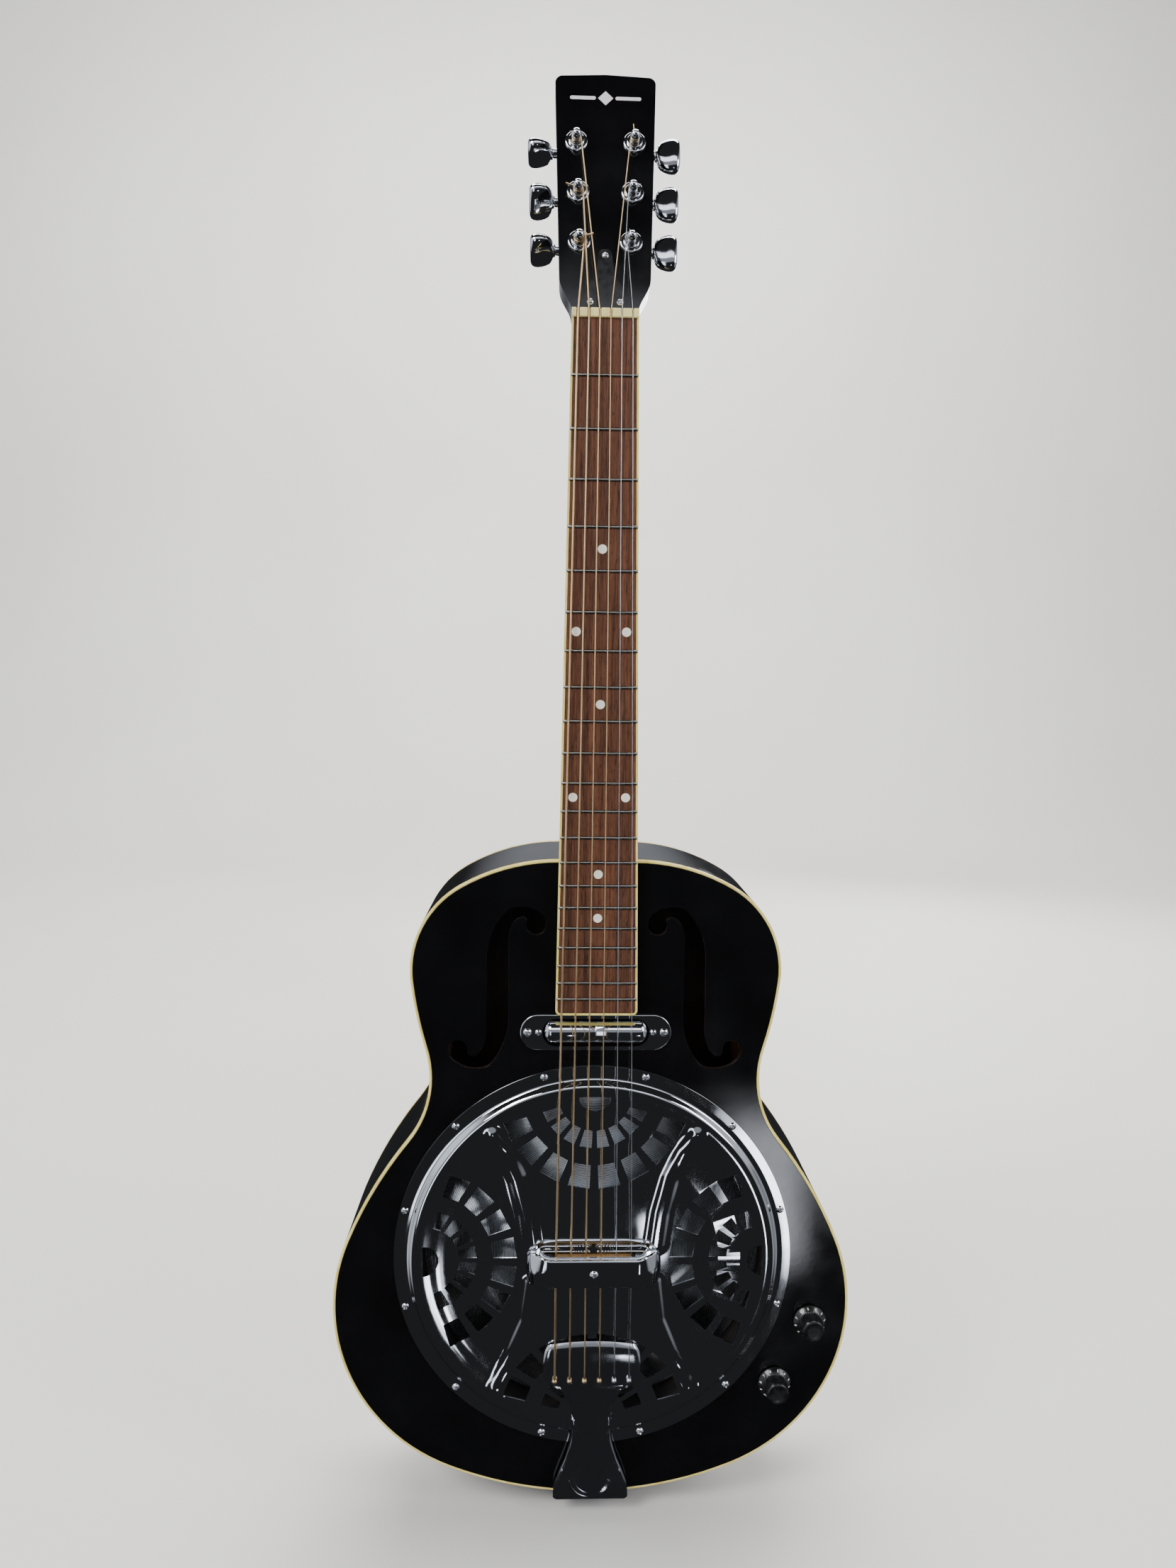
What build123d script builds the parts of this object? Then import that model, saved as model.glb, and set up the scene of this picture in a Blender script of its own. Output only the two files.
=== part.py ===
"""Resonator guitar: a wooden body with a spun metal cone under a pressed metal coverplate.

Frame: the origin lies on the back's outer face, straight behind the middle of the saddle. +X points to
the treble side, +Z up the neck and +Y out of the back. "height" below means the distance in front of the
back's outer face, so a height h lies at Y = -h. Plane.XZ faces the player, and its local y is Z.
"""

from build123d import *
from math import cos, pi, radians, sin
import os

os.makedirs("parts", exist_ok=True)

# ---------------------------------------------------------------- driving dimensions, mm
scale_length = 635.0
body_depth = 84.0
top_thick = 3.0
back_thick = 2.6
side_thick = 2.0
lining_width = 6.0
lining_deep = 10.0
binding_deep = 5.0

# The treble half of the body's outline: radius and turn in degrees of each tangent arc, from the middle
# of the tail end up to the shoulder. The waist turns the other way. A last arc closes on the neck end.
bottom_z = -178.5
neck_end_z = 283.5
outline_arcs = ((264.5, 22.6), (131.4, 90.0), (304.4, 15.8), (72.5, -55.0), (275.7, 10.0), (68.2, 66.8))
jack_z = -41.0

fretboard_thick = 7.0
fretboard_end_z = 177.5
nut_half = 21.5
board_end_half = 28.0
binding_width = 1.5
fret_count = 21
fret_width = 2.2
fret_high = 1.0
dot_r = 3.0
nut_thick = 5.5
nut_high = 9.2

neck_deep_nut = 14.0
neck_deep_heel = 17.0
head_angle = 13.0
head_length = 165.5
head_thick = 15.0
head_top_half = 33.4
head_low_half = 29.6

cone_r = 120.6
well_r = 123.0
well_outer_r = 141.0
ledge_high = 62.0
cover_r = 139.7
cover_thick = 0.9
cover_dome = 6.4
cover_screw_r = 136.0
cover_screws_count = 12
fan_offset = 119.0
fan_angles = (9.5, 28.5, 47.5, 66.5)

string_high_saddle = 98.0
string_high_nut = 92.4
saddle_spread = 52.5
nut_spread = 35.0
string_r = (0.66, 0.54, 0.42, 0.34, 0.22, 0.17)
wound_count = 4
tail_slot_z = -87.0
tail_crest_z = -73.0
tail_crest_high = 95.0

pickup_z = 163.5
pickup_tube_r = 8.6
pickup_axis_high = 81.5
knob_places = {"volume": (155.0, -48.0), "tone": (131.2, -94.6)}

post_z = (687.6, 721.6, 756.2)
post_x = (16.9, 17.8, 19.1)
gear_centres = 6.6
gear_axis = -21.0
gear_teeth = 15
wheel_r = 4.0

# ---------------------------------------------------------------- derived places
board_high = body_depth + fretboard_thick
nut_z = scale_length
head_z = nut_z + nut_thick
bore_gap = 0.06


def at(x, high, z):
    """The point at height `high` in front of the back's outer face."""
    return Vector(x, -high, z)


def front(high):
    """The plane parallel to the back at a height, facing the player."""
    return Plane.XZ.offset(high)


def fret_place(number):
    """Z of a fret: each one is a twelfth root of two nearer to the saddle."""
    return scale_length * 2 ** (-number / 12)


def board_half(z):
    """Half the fretboard's width at z."""
    share = (nut_z - z) / (nut_z - fretboard_end_z)
    return nut_half + share * (board_end_half - nut_half)


def body_outline(inset):
    """The body's outline as a flat face, moved inwards by `inset`."""
    with BuildSketch() as face:
        with BuildLine():
            place = Vector(0, bottom_z)
            heading = 0.0
            for radius, turn in outline_arcs:
                arc = JernArc(place, Vector(1, 0).rotate(Axis.Z, heading), radius, turn)
                place = arc @ 1
                heading += turn
            last_radius = (neck_end_z - place.Y) / (1 + cos(radians(heading)))
            arc = JernArc(place, Vector(1, 0).rotate(Axis.Z, heading), last_radius, 180 - heading)
            Line(arc @ 1, (0, neck_end_z))
            mirror(about=Plane.YZ)
        make_face()
        if inset:
            offset(amount=-inset, kind=Kind.INTERSECTION)
    return face.sketch


def f_hole():
    """The treble f-hole as a flat face: a straight stem that curls inwards above and outwards below."""
    with BuildSketch() as face:
        with BuildLine():
            Line((60.2, 224.0), (60.2, 172.0))
            Spline((60.2, 172.0), (63.6, 155.4), (71.0, 142.0), (83.0, 137.2), tangents=((0, -1), (1, 0)))
            Spline((83.0, 137.2), (97.0, 142.6), (101.2, 150.6), tangents=((1, 0), (0, 1)))
            ThreePointArc((101.2, 150.6), (94.4, 157.6), (88.0, 151.6))
            Spline((88.0, 151.6), (87.6, 147.6), (82.8, 146.6), tangents=((0, -1), (-1, 0.3)))
            Spline((82.8, 146.6), (77.4, 153.4), (75.4, 172.0), tangents=((-0.8, 0.5), (0, 1)))
            Line((75.4, 172.0), (75.0, 214.0))
            Spline((75.0, 214.0), (70.0, 236.0), (63.4, 246.2), (52.0, 251.2), tangents=((0, 1), (-1, 0)))
            Spline((52.0, 251.2), (39.4, 247.4), (34.8, 238.6), tangents=((-1, 0), (0, -1)))
            ThreePointArc((34.8, 238.6), (41.4, 231.4), (48.2, 237.6))
            Spline((48.2, 237.6), (47.6, 241.6), (51.0, 243.8), tangents=((0, 1), (1, 0.2)))
            Spline((51.0, 243.8), (58.2, 238.0), (60.2, 224.0), tangents=((1, -0.2), (0, -1)))
        make_face()
    return face.sketch


def rod(start, end, radius):
    """A straight round bar from one point to another, with a ball at its far end."""
    run = end - start
    with BuildPart() as bar:
        with BuildSketch(Plane(origin=start, z_dir=run)):
            Circle(radius)
        extrude(amount=run.length)
        with Locations(end):
            Sphere(radius)
    return bar.part


# ---------------------------------------------------------------- wooden body
with BuildPart() as soundboard:
    with BuildSketch(front(body_depth - top_thick)):
        add(body_outline(side_thick))
        Circle(well_r, mode=Mode.SUBTRACT)
        with Locations((0, pickup_z)):
            SlotOverall(84, 20.6, mode=Mode.SUBTRACT)
            with Locations((-47, 0), (47, 0)):
                Circle(1.4, mode=Mode.SUBTRACT)
        with Locations(*knob_places.values()):
            Circle(3.6, mode=Mode.SUBTRACT)
        with PolarLocations(cover_screw_r, cover_screws_count, start_angle=15):
            Circle(1.3, mode=Mode.SUBTRACT)
    extrude(amount=top_thick)
    with BuildSketch(front(body_depth - top_thick - 1)):
        add(f_hole())
        mirror(about=Plane.YZ)
    extrude(amount=top_thick + 2, mode=Mode.SUBTRACT)
soundboard.part.label = "soundboard"
export_step(soundboard.part, "parts/soundboard.step")

with BuildPart() as back_plate:
    with BuildSketch(front(0)):
        add(body_outline(side_thick))
    extrude(amount=back_thick)
back_plate.part.label = "back_plate"
export_step(back_plate.part, "parts/back_plate.step")

body_half = body_outline(0).bounding_box().max.X
jack_place = at(body_half, body_depth / 2, jack_z)
strap_place = at(0, body_depth / 2, bottom_z)
with BuildPart() as rim:
    with BuildSketch(front(binding_deep)):
        add(body_outline(0))
    extrude(amount=body_depth - 2 * binding_deep)
    with BuildSketch(front(binding_deep)):
        add(body_outline(side_thick))
    extrude(amount=body_depth - 2 * binding_deep, mode=Mode.SUBTRACT)
    with BuildSketch(Plane(origin=jack_place - Vector(10, 0, 0), z_dir=(1, 0, 0))):
        Circle(6.2)
    extrude(amount=20, mode=Mode.SUBTRACT)
    with BuildSketch(Plane(origin=strap_place - Vector(0, 0, 10), z_dir=(0, 0, 1))):
        Circle(2.3)
    extrude(amount=20, mode=Mode.SUBTRACT)

with BuildPart() as ribs_bass:
    add(rim.part)
    split(bisect_by=Plane.YZ, keep=Keep.BOTTOM)
ribs_bass.part.label = "ribs_bass"
export_step(ribs_bass.part, "parts/ribs_bass.step")

with BuildPart() as ribs_treble:
    add(rim.part)
    split(bisect_by=Plane.YZ, keep=Keep.TOP)
ribs_treble.part.label = "ribs_treble"
export_step(ribs_treble.part, "parts/ribs_treble.step")


def edge_ring(low, deep, outer_inset, width):
    """A strip that follows the outline, between two insets, from a low height upwards."""
    with BuildPart() as strip:
        with BuildSketch(front(low)):
            add(body_outline(outer_inset))
        extrude(amount=deep)
        with BuildSketch(front(low)):
            add(body_outline(outer_inset + width))
        extrude(amount=deep, mode=Mode.SUBTRACT)
    return strip


block_half = 25.5
neck_block_z = (238.0, neck_end_z - side_thick)
end_block_z = -150.0
lining_gap = 0.1

top_binding = edge_ring(body_depth - binding_deep, binding_deep, 0, side_thick)
top_binding.part.label = "top_binding"
export_step(top_binding.part, "parts/top_binding.step")

back_binding = edge_ring(0, binding_deep, 0, side_thick)
back_binding.part.label = "back_binding"
export_step(back_binding.part, "parts/back_binding.step")

lining_lows = (back_thick, body_depth - top_thick - lining_deep)
with BuildPart() as linings:
    for low in lining_lows:
        add(edge_ring(low, lining_deep, side_thick, lining_width).part)
    with Locations(at(0, body_depth / 2, neck_end_z), at(0, body_depth / 2, bottom_z)):
        Box(2 * (block_half + lining_gap), body_depth, 60, mode=Mode.SUBTRACT)
linings.part.label = "linings"
export_step(linings.part, "parts/linings.step")

with BuildPart() as neck_block:
    with BuildSketch(front(back_thick)):
        with Locations((0, sum(neck_block_z) / 2)):
            Rectangle(2 * block_half, neck_block_z[1] - neck_block_z[0])
    extrude(amount=body_depth - top_thick - back_thick)
neck_block.part.label = "neck_block"
export_step(neck_block.part, "parts/neck_block.step")

with BuildPart() as end_block:
    with BuildSketch(front(back_thick)):
        add(body_outline(side_thick))
        with Locations((0, end_block_z - 25)):
            Rectangle(2 * block_half, 50, mode=Mode.INTERSECT)
    extrude(amount=body_depth - top_thick - back_thick)
    with BuildSketch(Plane(origin=strap_place - Vector(0, 0, 10), z_dir=(0, 0, 1))):
        Circle(2.3)
    extrude(amount=50, mode=Mode.SUBTRACT)
end_block.part.label = "end_block"
export_step(end_block.part, "parts/end_block.step")

# ---------------------------------------------------------------- resonator
with BuildPart() as soundwell:
    with BuildSketch(Plane.XY):
        with BuildLine():
            Polyline(
                (111, -ledge_high + 4),
                (well_outer_r, -ledge_high + 4),
                (well_outer_r, -body_depth + top_thick),
                (well_r, -body_depth + top_thick),
                (well_r, -ledge_high),
                (111, -ledge_high),
                close=True,
            )
        make_face()
    revolve(axis=Axis.Y)
    with BuildSketch(front(body_depth - top_thick - 12)):
        with PolarLocations(cover_screw_r, cover_screws_count, start_angle=15):
            Circle(1.3)
    extrude(amount=12, mode=Mode.SUBTRACT)
soundwell.part.label = "soundwell"
export_step(soundwell.part, "parts/soundwell.step")

cone_sheet = 0.7
cone_top = 82.3
with BuildPart() as resonator_cone:
    with BuildSketch(Plane.XY):
        with BuildLine():
            Polyline(
                (cone_r, -ledge_high),
                (cone_r, -ledge_high - cone_sheet),
                (113, -ledge_high - cone_sheet),
                (30, -cone_top - cone_sheet),
                (0, -cone_top - cone_sheet),
                (0, -cone_top),
                (30, -cone_top),
                (113, -ledge_high),
                close=True,
            )
        make_face()
    revolve(axis=Axis.Y)
resonator_cone.part.label = "resonator_cone"
export_step(resonator_cone.part, "parts/resonator_cone.step")

biscuit_low = cone_top + cone_sheet
saddle_low = 86.0
saddle_thick = 3.0
with BuildPart() as biscuit:
    with BuildSketch(front(biscuit_low)):
        Circle(27)
    extrude(amount=6.2)
    fillet(biscuit.faces().sort_by(Axis.Y)[0].edges(), 1.0)
    with BuildSketch(front(saddle_low)):
        Rectangle(60, saddle_thick)
    extrude(amount=8, mode=Mode.SUBTRACT)
biscuit.part.label = "biscuit"
export_step(biscuit.part, "parts/biscuit.step")


def string_x(index, spread):
    """X of a string, the bass one first, in an even spread."""
    return spread * (index / 5 - 0.5)


with BuildPart() as saddle:
    with BuildSketch(front(saddle_low)):
        Rectangle(62, saddle_thick)
    extrude(amount=string_high_saddle - saddle_low + 0.4)
    for index, radius in enumerate(string_r):
        with Locations(at(string_x(index, saddle_spread), string_high_saddle - radius - 0.1 + 2, 0)):
            Box(2 * radius + 0.1, 4, 4, mode=Mode.SUBTRACT)
saddle.part.label = "saddle"
export_step(saddle.part, "parts/saddle.step")

# The dome: a flat flange, a steep rounded shoulder, a shallow dish and a flat middle.
shoulder = (123.0, 4.6)
dome_points = ((35.0, 6.2), (50.0, 5.4), (70.0, 3.8), (92.0, 1.8), (100.0, 1.7), (112.0, 3.2))
collar = (87.0, 22.0)
bridge_slot = (81.0, 17.0)


def dome_line(lift):
    """The coverplate's section from its middle to its edge, at a lift from the soundboard's face."""
    base = body_depth + lift
    middle = Line((0, -base - cover_dome), (30, -base - cover_dome))
    Spline(
        middle @ 1,
        *[(r, -base - high) for r, high in dome_points],
        (shoulder[0], -base - shoulder[1]),
        tangents=((1, 0), (1, 0)),
    )
    ThreePointArc(
        (shoulder[0], -base - shoulder[1]),
        (shoulder[0] + 5.0 + lift * 0.6, -base - shoulder[1] + 1.6),
        (130.0 + lift, -base),
    )
    return Line((130.0 + lift, -base), (cover_r, -base))


with BuildSketch() as half_disc:
    Circle(11)
    with Locations((11, 0)):
        Rectangle(22, 22, mode=Mode.SUBTRACT)

with BuildPart() as coverplate:
    with BuildSketch(Plane.XY):
        with BuildLine():
            upper = dome_line(cover_thick)
            lower = dome_line(0)
            Line(upper @ 1, lower @ 1)
            Line((0, -body_depth - cover_dome - cover_thick), (0, -body_depth - cover_dome))
        make_face()
    revolve(axis=Axis.Y)
    with BuildSketch(front(body_depth + cover_dome - 0.2)):
        SlotOverall(*collar)
    extrude(amount=3.4)
    with BuildSketch(front(body_depth - 5)):
        SlotOverall(*bridge_slot)
        with PolarLocations(cover_screw_r, cover_screws_count, start_angle=15):
            Circle(1.5)
        for quarter in range(4):
            turn = Rot(0, 0, 90 * quarter) * Pos(fan_offset, 0)
            with Locations(turn):
                add(half_disc.sketch)
            for angle in fan_angles:
                for side in (-1, 1):
                    ray = turn * Rot(0, 0, 180 + side * angle)
                    with Locations(ray * Pos(31.2, 0) * Rot(0, 0, 90)):
                        Trapezoid(8.6, 12.4, 83)
                    with Locations(ray * Pos(57.2, 0) * Rot(0, 0, 90)):
                        Trapezoid(15.4, 16.4, 83)
    extrude(amount=25, mode=Mode.SUBTRACT)
coverplate.part.label = "coverplate"
export_step(coverplate.part, "parts/coverplate.step")

with BuildPart() as coverplate_screws:
    with BuildSketch(front(body_depth - 10)):
        with PolarLocations(cover_screw_r, cover_screws_count, start_angle=15):
            Circle(1.25)
    extrude(amount=10 + cover_thick)
    with BuildSketch(front(body_depth + cover_thick)):
        with PolarLocations(cover_screw_r, cover_screws_count, start_angle=15):
            Circle(2.6)
    extrude(amount=1.4, taper=20)
coverplate_screws.part.label = "coverplate_screws"
export_step(coverplate_screws.part, "parts/coverplate_screws.step")

palm_half = 47.0
palm_top = 107.0
palm_sheet = 1.6
palm_deep = 23.5
palm_foot = body_depth + cover_dome + cover_thick


def palm_arch(half, top):
    """The hand rest's arch as a flat face, seen from the end of the neck."""
    with BuildSketch() as face:
        with BuildLine():
            Line((-half, -palm_foot), (-half, -palm_foot - 3))
            ThreePointArc((-half, -palm_foot - 3), (-half + 3.6, -top + 4.4), (-half + 14, -top))
            Line((-half + 14, -top), (half - 14, -top))
            ThreePointArc((half - 14, -top), (half - 3.6, -top + 4.4), (half, -palm_foot - 3))
            Polyline((half, -palm_foot - 3), (half, -palm_foot), (-half, -palm_foot))
        make_face()
    return face.sketch


with BuildPart() as palm_rest:
    with BuildSketch(Plane.XY.offset(-palm_deep / 2)):
        add(palm_arch(palm_half, palm_top))
    extrude(amount=palm_deep)
    fillet(palm_rest.edges().filter_by(GeomType.LINE).group_by(Axis.Y)[0], 0.7)
    with BuildSketch(Plane.XY.offset(-palm_deep)):
        add(palm_arch(palm_half - palm_sheet, palm_top - palm_sheet))
    extrude(amount=2 * palm_deep, mode=Mode.SUBTRACT)
    with BuildSketch(front(palm_top - 5)):
        Circle(1.6)
    extrude(amount=10, mode=Mode.SUBTRACT)
palm_rest.part.label = "palm_rest"
export_step(palm_rest.part, "parts/palm_rest.step")

with BuildPart() as palm_rest_screw:
    with BuildSketch(front(palm_top - 3.4)):
        Circle(1.55)
    extrude(amount=3.4)
    with BuildSketch(front(palm_top)):
        Circle(3.0)
    extrude(amount=1.5, taper=22)
palm_rest_screw.part.label = "palm_rest_screw"
export_step(palm_rest_screw.part, "parts/palm_rest_screw.step")

# ---------------------------------------------------------------- tailpiece and strap button
tail_sheet = 1.6
with BuildPart() as tailpiece:
    with BuildSketch(Plane.YZ):
        with BuildLine():
            Line((-56, bottom_z - 0.3), (-85.8, bottom_z - 0.3))
            ThreePointArc((-85.8, bottom_z - 0.3), (-87.9, bottom_z + 0.6), (-88.6, bottom_z + 2.6))
            Line((-88.6, bottom_z + 2.6), (-91.3, -88))
            ThreePointArc((-91.3, -88), (-tail_crest_high + tail_sheet, tail_crest_z), (-91.4, -58.6))
            Line((-91.4, -58.6), (-92.9, -58))
            ThreePointArc((-92.9, -58), (-tail_crest_high, tail_crest_z), (-92.9, -88))
            Line((-92.9, -88), (-90.2, bottom_z + 2.4))
            ThreePointArc((-90.2, bottom_z + 2.4), (-89.1, bottom_z - 0.7), (-86.0, bottom_z - 1.9))
            Polyline((-86.0, bottom_z - 1.9), (-56, bottom_z - 1.9), (-56, bottom_z - 0.3))
        make_face()
    extrude(amount=40, both=True)
    with BuildSketch(front(50)):
        with BuildLine():
            Spline((0, -57), (24, -59.5), (33, -67), tangents=((1, 0), (0.3, -1)))
            Spline((33, -67), (34.4, -78), (33.5, -87), tangents=((0.3, -1), (-0.3, -1)))
            Line((33.5, -87), (27, -91))
            Spline((27, -91), (16.5, -106), (14.2, -124), tangents=((-1, -0.6), (0, -1)))
            Spline((14.2, -124), (17.2, -148), (26.7, -170), tangents=((0, -1), (0.6, -1)))
            Polyline((26.7, -170), (26.7, -185), (0, -185))
            mirror(about=Plane.YZ)
        make_face()
    extrude(amount=60, mode=Mode.INTERSECT)
    with BuildSketch(front(88)):
        for index in range(6):
            with Locations((string_x(index, saddle_spread), tail_slot_z)):
                Circle(2.3)
            with Locations((string_x(index, saddle_spread), tail_slot_z + 2.4)):
                Rectangle(1.9, 5)
    extrude(amount=10, mode=Mode.SUBTRACT)
    with BuildSketch(Plane(origin=strap_place - Vector(0, 0, 10), z_dir=(0, 0, 1))):
        Circle(2.3)
    extrude(amount=20, mode=Mode.SUBTRACT)
tailpiece.part.label = "tailpiece"
export_step(tailpiece.part, "parts/tailpiece.step")

with BuildPart() as strap_button:
    with BuildSketch(Plane.YZ):
        with BuildLine():
            button_base = bottom_z - 1.9
            Polyline((0, button_base), (6, button_base), (6, button_base - 1.5), (4, button_base - 3))
            Line((4, button_base - 3), (4, button_base - 8))
            ThreePointArc((4, button_base - 8), (7, button_base - 10.5), (5.5, button_base - 13))
            Polyline((5.5, button_base - 13), (0, button_base - 13), (0, button_base))
        make_face()
    revolve(axis=Axis.Z)
    with BuildSketch(Plane.XY.offset(button_base)):
        Circle(2.2)
    extrude(amount=24)
strap_button.part = strap_button.part.moved(Location((0, -body_depth / 2, 0)))
strap_button.part.label = "strap_button"
export_step(strap_button.part, "parts/strap_button.step")

# ---------------------------------------------------------------- neck
head_plane = Plane(
    origin=at(0, body_depth, head_z),
    x_dir=(1, 0, 0),
    z_dir=(0, -cos(radians(head_angle)), sin(radians(head_angle))),
)
truss_high = 76.5
truss_r = 3.0


def neck_section(z, deep):
    """The neck's rounded section at z, its flat side under the fretboard."""
    half = board_half(z)
    with BuildSketch(Plane(origin=at(0, body_depth, z), x_dir=(1, 0, 0), z_dir=(0, 0, 1))) as face:
        with BuildLine():
            Line((-half, 0), (half, 0))
            Spline((half, 0), (0.62 * half, 0.8 * deep), (0, deep), tangents=((0, 1), (-1, 0)))
            Spline((0, deep), (-0.62 * half, 0.8 * deep), (-half, 0), tangents=((-1, 0), (0, -1)))
        make_face()
    return face.sketch


def heel_section(high, half, straight_z, tip_z):
    """The heel's section at a height: flat against the body and round towards the neck."""
    with BuildSketch(front(high)) as face:
        with BuildLine():
            Polyline((-half, straight_z), (-half, neck_end_z), (half, neck_end_z), (half, straight_z))
            ThreePointArc((half, straight_z), (0, tip_z), (-half, straight_z))
        make_face()
    return face.sketch


with BuildPart() as neck:
    loft([neck_section(head_z, neck_deep_nut), neck_section(neck_end_z, neck_deep_heel)])
    loft(
        [
            heel_section(body_depth - 6, 24.5, 318, 341),
            heel_section(body_depth - 34, 18.5, 298, 314),
            heel_section(8, 14.0, 287, 299),
        ]
    )
    with BuildSketch(head_plane):
        with BuildLine():
            Polyline((0, 0), (nut_half, 0))
            Spline((nut_half, 0), (24.5, 9), (head_low_half, 22), tangents=((0.1, 1), (0.1, 1)))
            Polyline((head_low_half, 22), (head_top_half, head_length), (0, head_length + 1.5))
            mirror(about=Plane.YZ)
        make_face()
    extrude(amount=-head_thick)
    corners = neck.edges().filter_by(Axis((0, 0, 0), head_plane.z_dir)).filter_by_position(Axis.Z, 770, 830)
    fillet([edge for edge in corners if abs((edge @ 0.5).X) > 20], 5)
    loft(
        [
            neck_section(head_z - 12, neck_deep_nut),
            Pos(0, 9, 0) * neck_section(head_z + 14, 0.72 * neck_deep_nut),
        ]
    )
    with BuildSketch(Plane(origin=at(0, truss_high, 300), z_dir=(0, 0, 1))):
        Circle(truss_r + 0.05)
    extrude(amount=head_z - 300, mode=Mode.SUBTRACT)
    with BuildSketch(head_plane):
        with Locations((0, 12)):
            SlotOverall(36, 13, rotation=90)
    extrude(amount=-13, mode=Mode.SUBTRACT)
    with BuildSketch(head_plane.offset(-head_thick - 1)):
        for x, z in zip(post_x, post_z):
            reach = (z - head_z) / cos(radians(head_angle))
            with Locations((-x, reach), (x, reach)):
                Circle(5.0)
    extrude(amount=head_thick + 2, mode=Mode.SUBTRACT)
neck.part.label = "neck"
export_step(neck.part, "parts/neck.step")


def board_face(inset, top_z):
    """The fretboard's outline as a flat face, its sides and its body end moved inwards by `inset`."""
    low = fretboard_end_z + inset
    with BuildSketch() as face:
        with BuildLine():
            Polyline(
                (-board_half(low) + inset, low),
                (board_half(low) - inset, low),
                (board_half(top_z) - inset, top_z),
                (-board_half(top_z) + inset, top_z),
                close=True,
            )
        make_face()
        fillet(face.vertices().group_by(Axis.Y)[0], 3.5 - inset)
    return face.sketch


dot_places = []
for number, count in ((5, 1), (7, 2), (9, 1), (12, 2), (15, 1), (17, 1)):
    dot_z = (fret_place(number) + fret_place(number - 1)) / 2
    side = 0.68 * board_half(dot_z)
    dot_places += [(0, dot_z)] if count == 1 else [(-side, dot_z), (side, dot_z)]

with BuildPart() as fretboard:
    with BuildSketch(front(body_depth)):
        add(board_face(binding_width, nut_z))
    extrude(amount=fretboard_thick)
    with BuildSketch(front(board_high - 1.4)):
        with Locations(*dot_places):
            Circle(dot_r)
    extrude(amount=2, mode=Mode.SUBTRACT)
fretboard.part.label = "fretboard"
export_step(fretboard.part, "parts/fretboard.step")

with BuildPart() as fretboard_binding:
    with BuildSketch(front(body_depth)):
        add(board_face(0, nut_z))
        add(board_face(binding_width, nut_z), mode=Mode.SUBTRACT)
    extrude(amount=fretboard_thick)
fretboard_binding.part.label = "fretboard_binding"
export_step(fretboard_binding.part, "parts/fretboard_binding.step")

with BuildPart() as position_dots:
    with BuildSketch(front(board_high - 1.4)):
        with Locations(*dot_places):
            Circle(dot_r)
    extrude(amount=1.4)
position_dots.part.label = "position_dots"
export_step(position_dots.part, "parts/position_dots.step")

with BuildPart() as frets:
    for number in range(1, fret_count + 1):
        place = fret_place(number)
        with BuildSketch(Plane.YZ.offset(-board_half(place) + 0.3)):
            with BuildLine():
                Line((-board_high, place - fret_width / 2), (-board_high, place + fret_width / 2))
                ThreePointArc(
                    (-board_high, place + fret_width / 2),
                    (-board_high - fret_high, place),
                    (-board_high, place - fret_width / 2),
                )
            make_face()
        extrude(amount=2 * board_half(place) - 0.6)
frets.part.label = "frets"
export_step(frets.part, "parts/frets.step")

string_kink_z = nut_z + nut_thick / 2
with BuildPart() as nut:
    with BuildSketch(front(body_depth)):
        with Locations((0, string_kink_z)):
            Rectangle(2 * nut_half, nut_thick)
    extrude(amount=nut_high)
    fillet(nut.edges().filter_by(Axis.X).group_by(Axis.Y)[0], 0.8)
    for index, radius in enumerate(string_r):
        slot_low = string_high_nut - radius - 0.8
        with Locations(at(string_x(index, nut_spread), slot_low + 4, string_kink_z)):
            Box(2 * radius + 0.9, 8, 8, mode=Mode.SUBTRACT)
nut.part.label = "nut"
export_step(nut.part, "parts/nut.step")

# ---------------------------------------------------------------- truss rod under its cover
with BuildPart() as truss_rod:
    with BuildSketch(Plane(origin=at(0, truss_high, 302), z_dir=(0, 0, 1))):
        Circle(truss_r)
    extrude(amount=head_z + 6.5 - 302)
truss_rod.part.label = "truss_rod"
export_step(truss_rod.part, "parts/truss_rod.step")

truss_nut_z = (head_z + 0.5, head_z + 8.5)
with BuildPart() as truss_rod_nut:
    with BuildSketch(Plane(origin=at(0, truss_high, truss_nut_z[0]), z_dir=(0, 0, 1))):
        RegularPolygon(4.0, 6, major_radius=False)
        Circle(truss_r + 0.05, mode=Mode.SUBTRACT)
    extrude(amount=truss_nut_z[1] - truss_nut_z[0])
truss_rod_nut.part.label = "truss_rod_nut"
export_step(truss_rod_nut.part, "parts/truss_rod_nut.step")

cover_low = 2.0
cover_tip = 42.0
truss_screw_places = ((-9.6, 6.0), (9.6, 6.0), (0, 37.8))
with BuildPart() as truss_rod_cover:
    with BuildSketch(head_plane):
        with BuildLine():
            Polyline((0, cover_low), (13.0, cover_low), (13.0, 9))
            Spline((13.0, 9), (7.6, 22), (4.6, cover_tip - 4), tangents=((0, 1), (-0.1, 1)))
            Spline((4.6, cover_tip - 4), (0, cover_tip), tangents=((-0.1, 1), (-1, 0)))
            mirror(about=Plane.YZ)
        make_face()
        with Locations(*truss_screw_places):
            Circle(1.15, mode=Mode.SUBTRACT)
    extrude(amount=1.8)
truss_rod_cover.part.label = "truss_rod_cover"
export_step(truss_rod_cover.part, "parts/truss_rod_cover.step")

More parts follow.
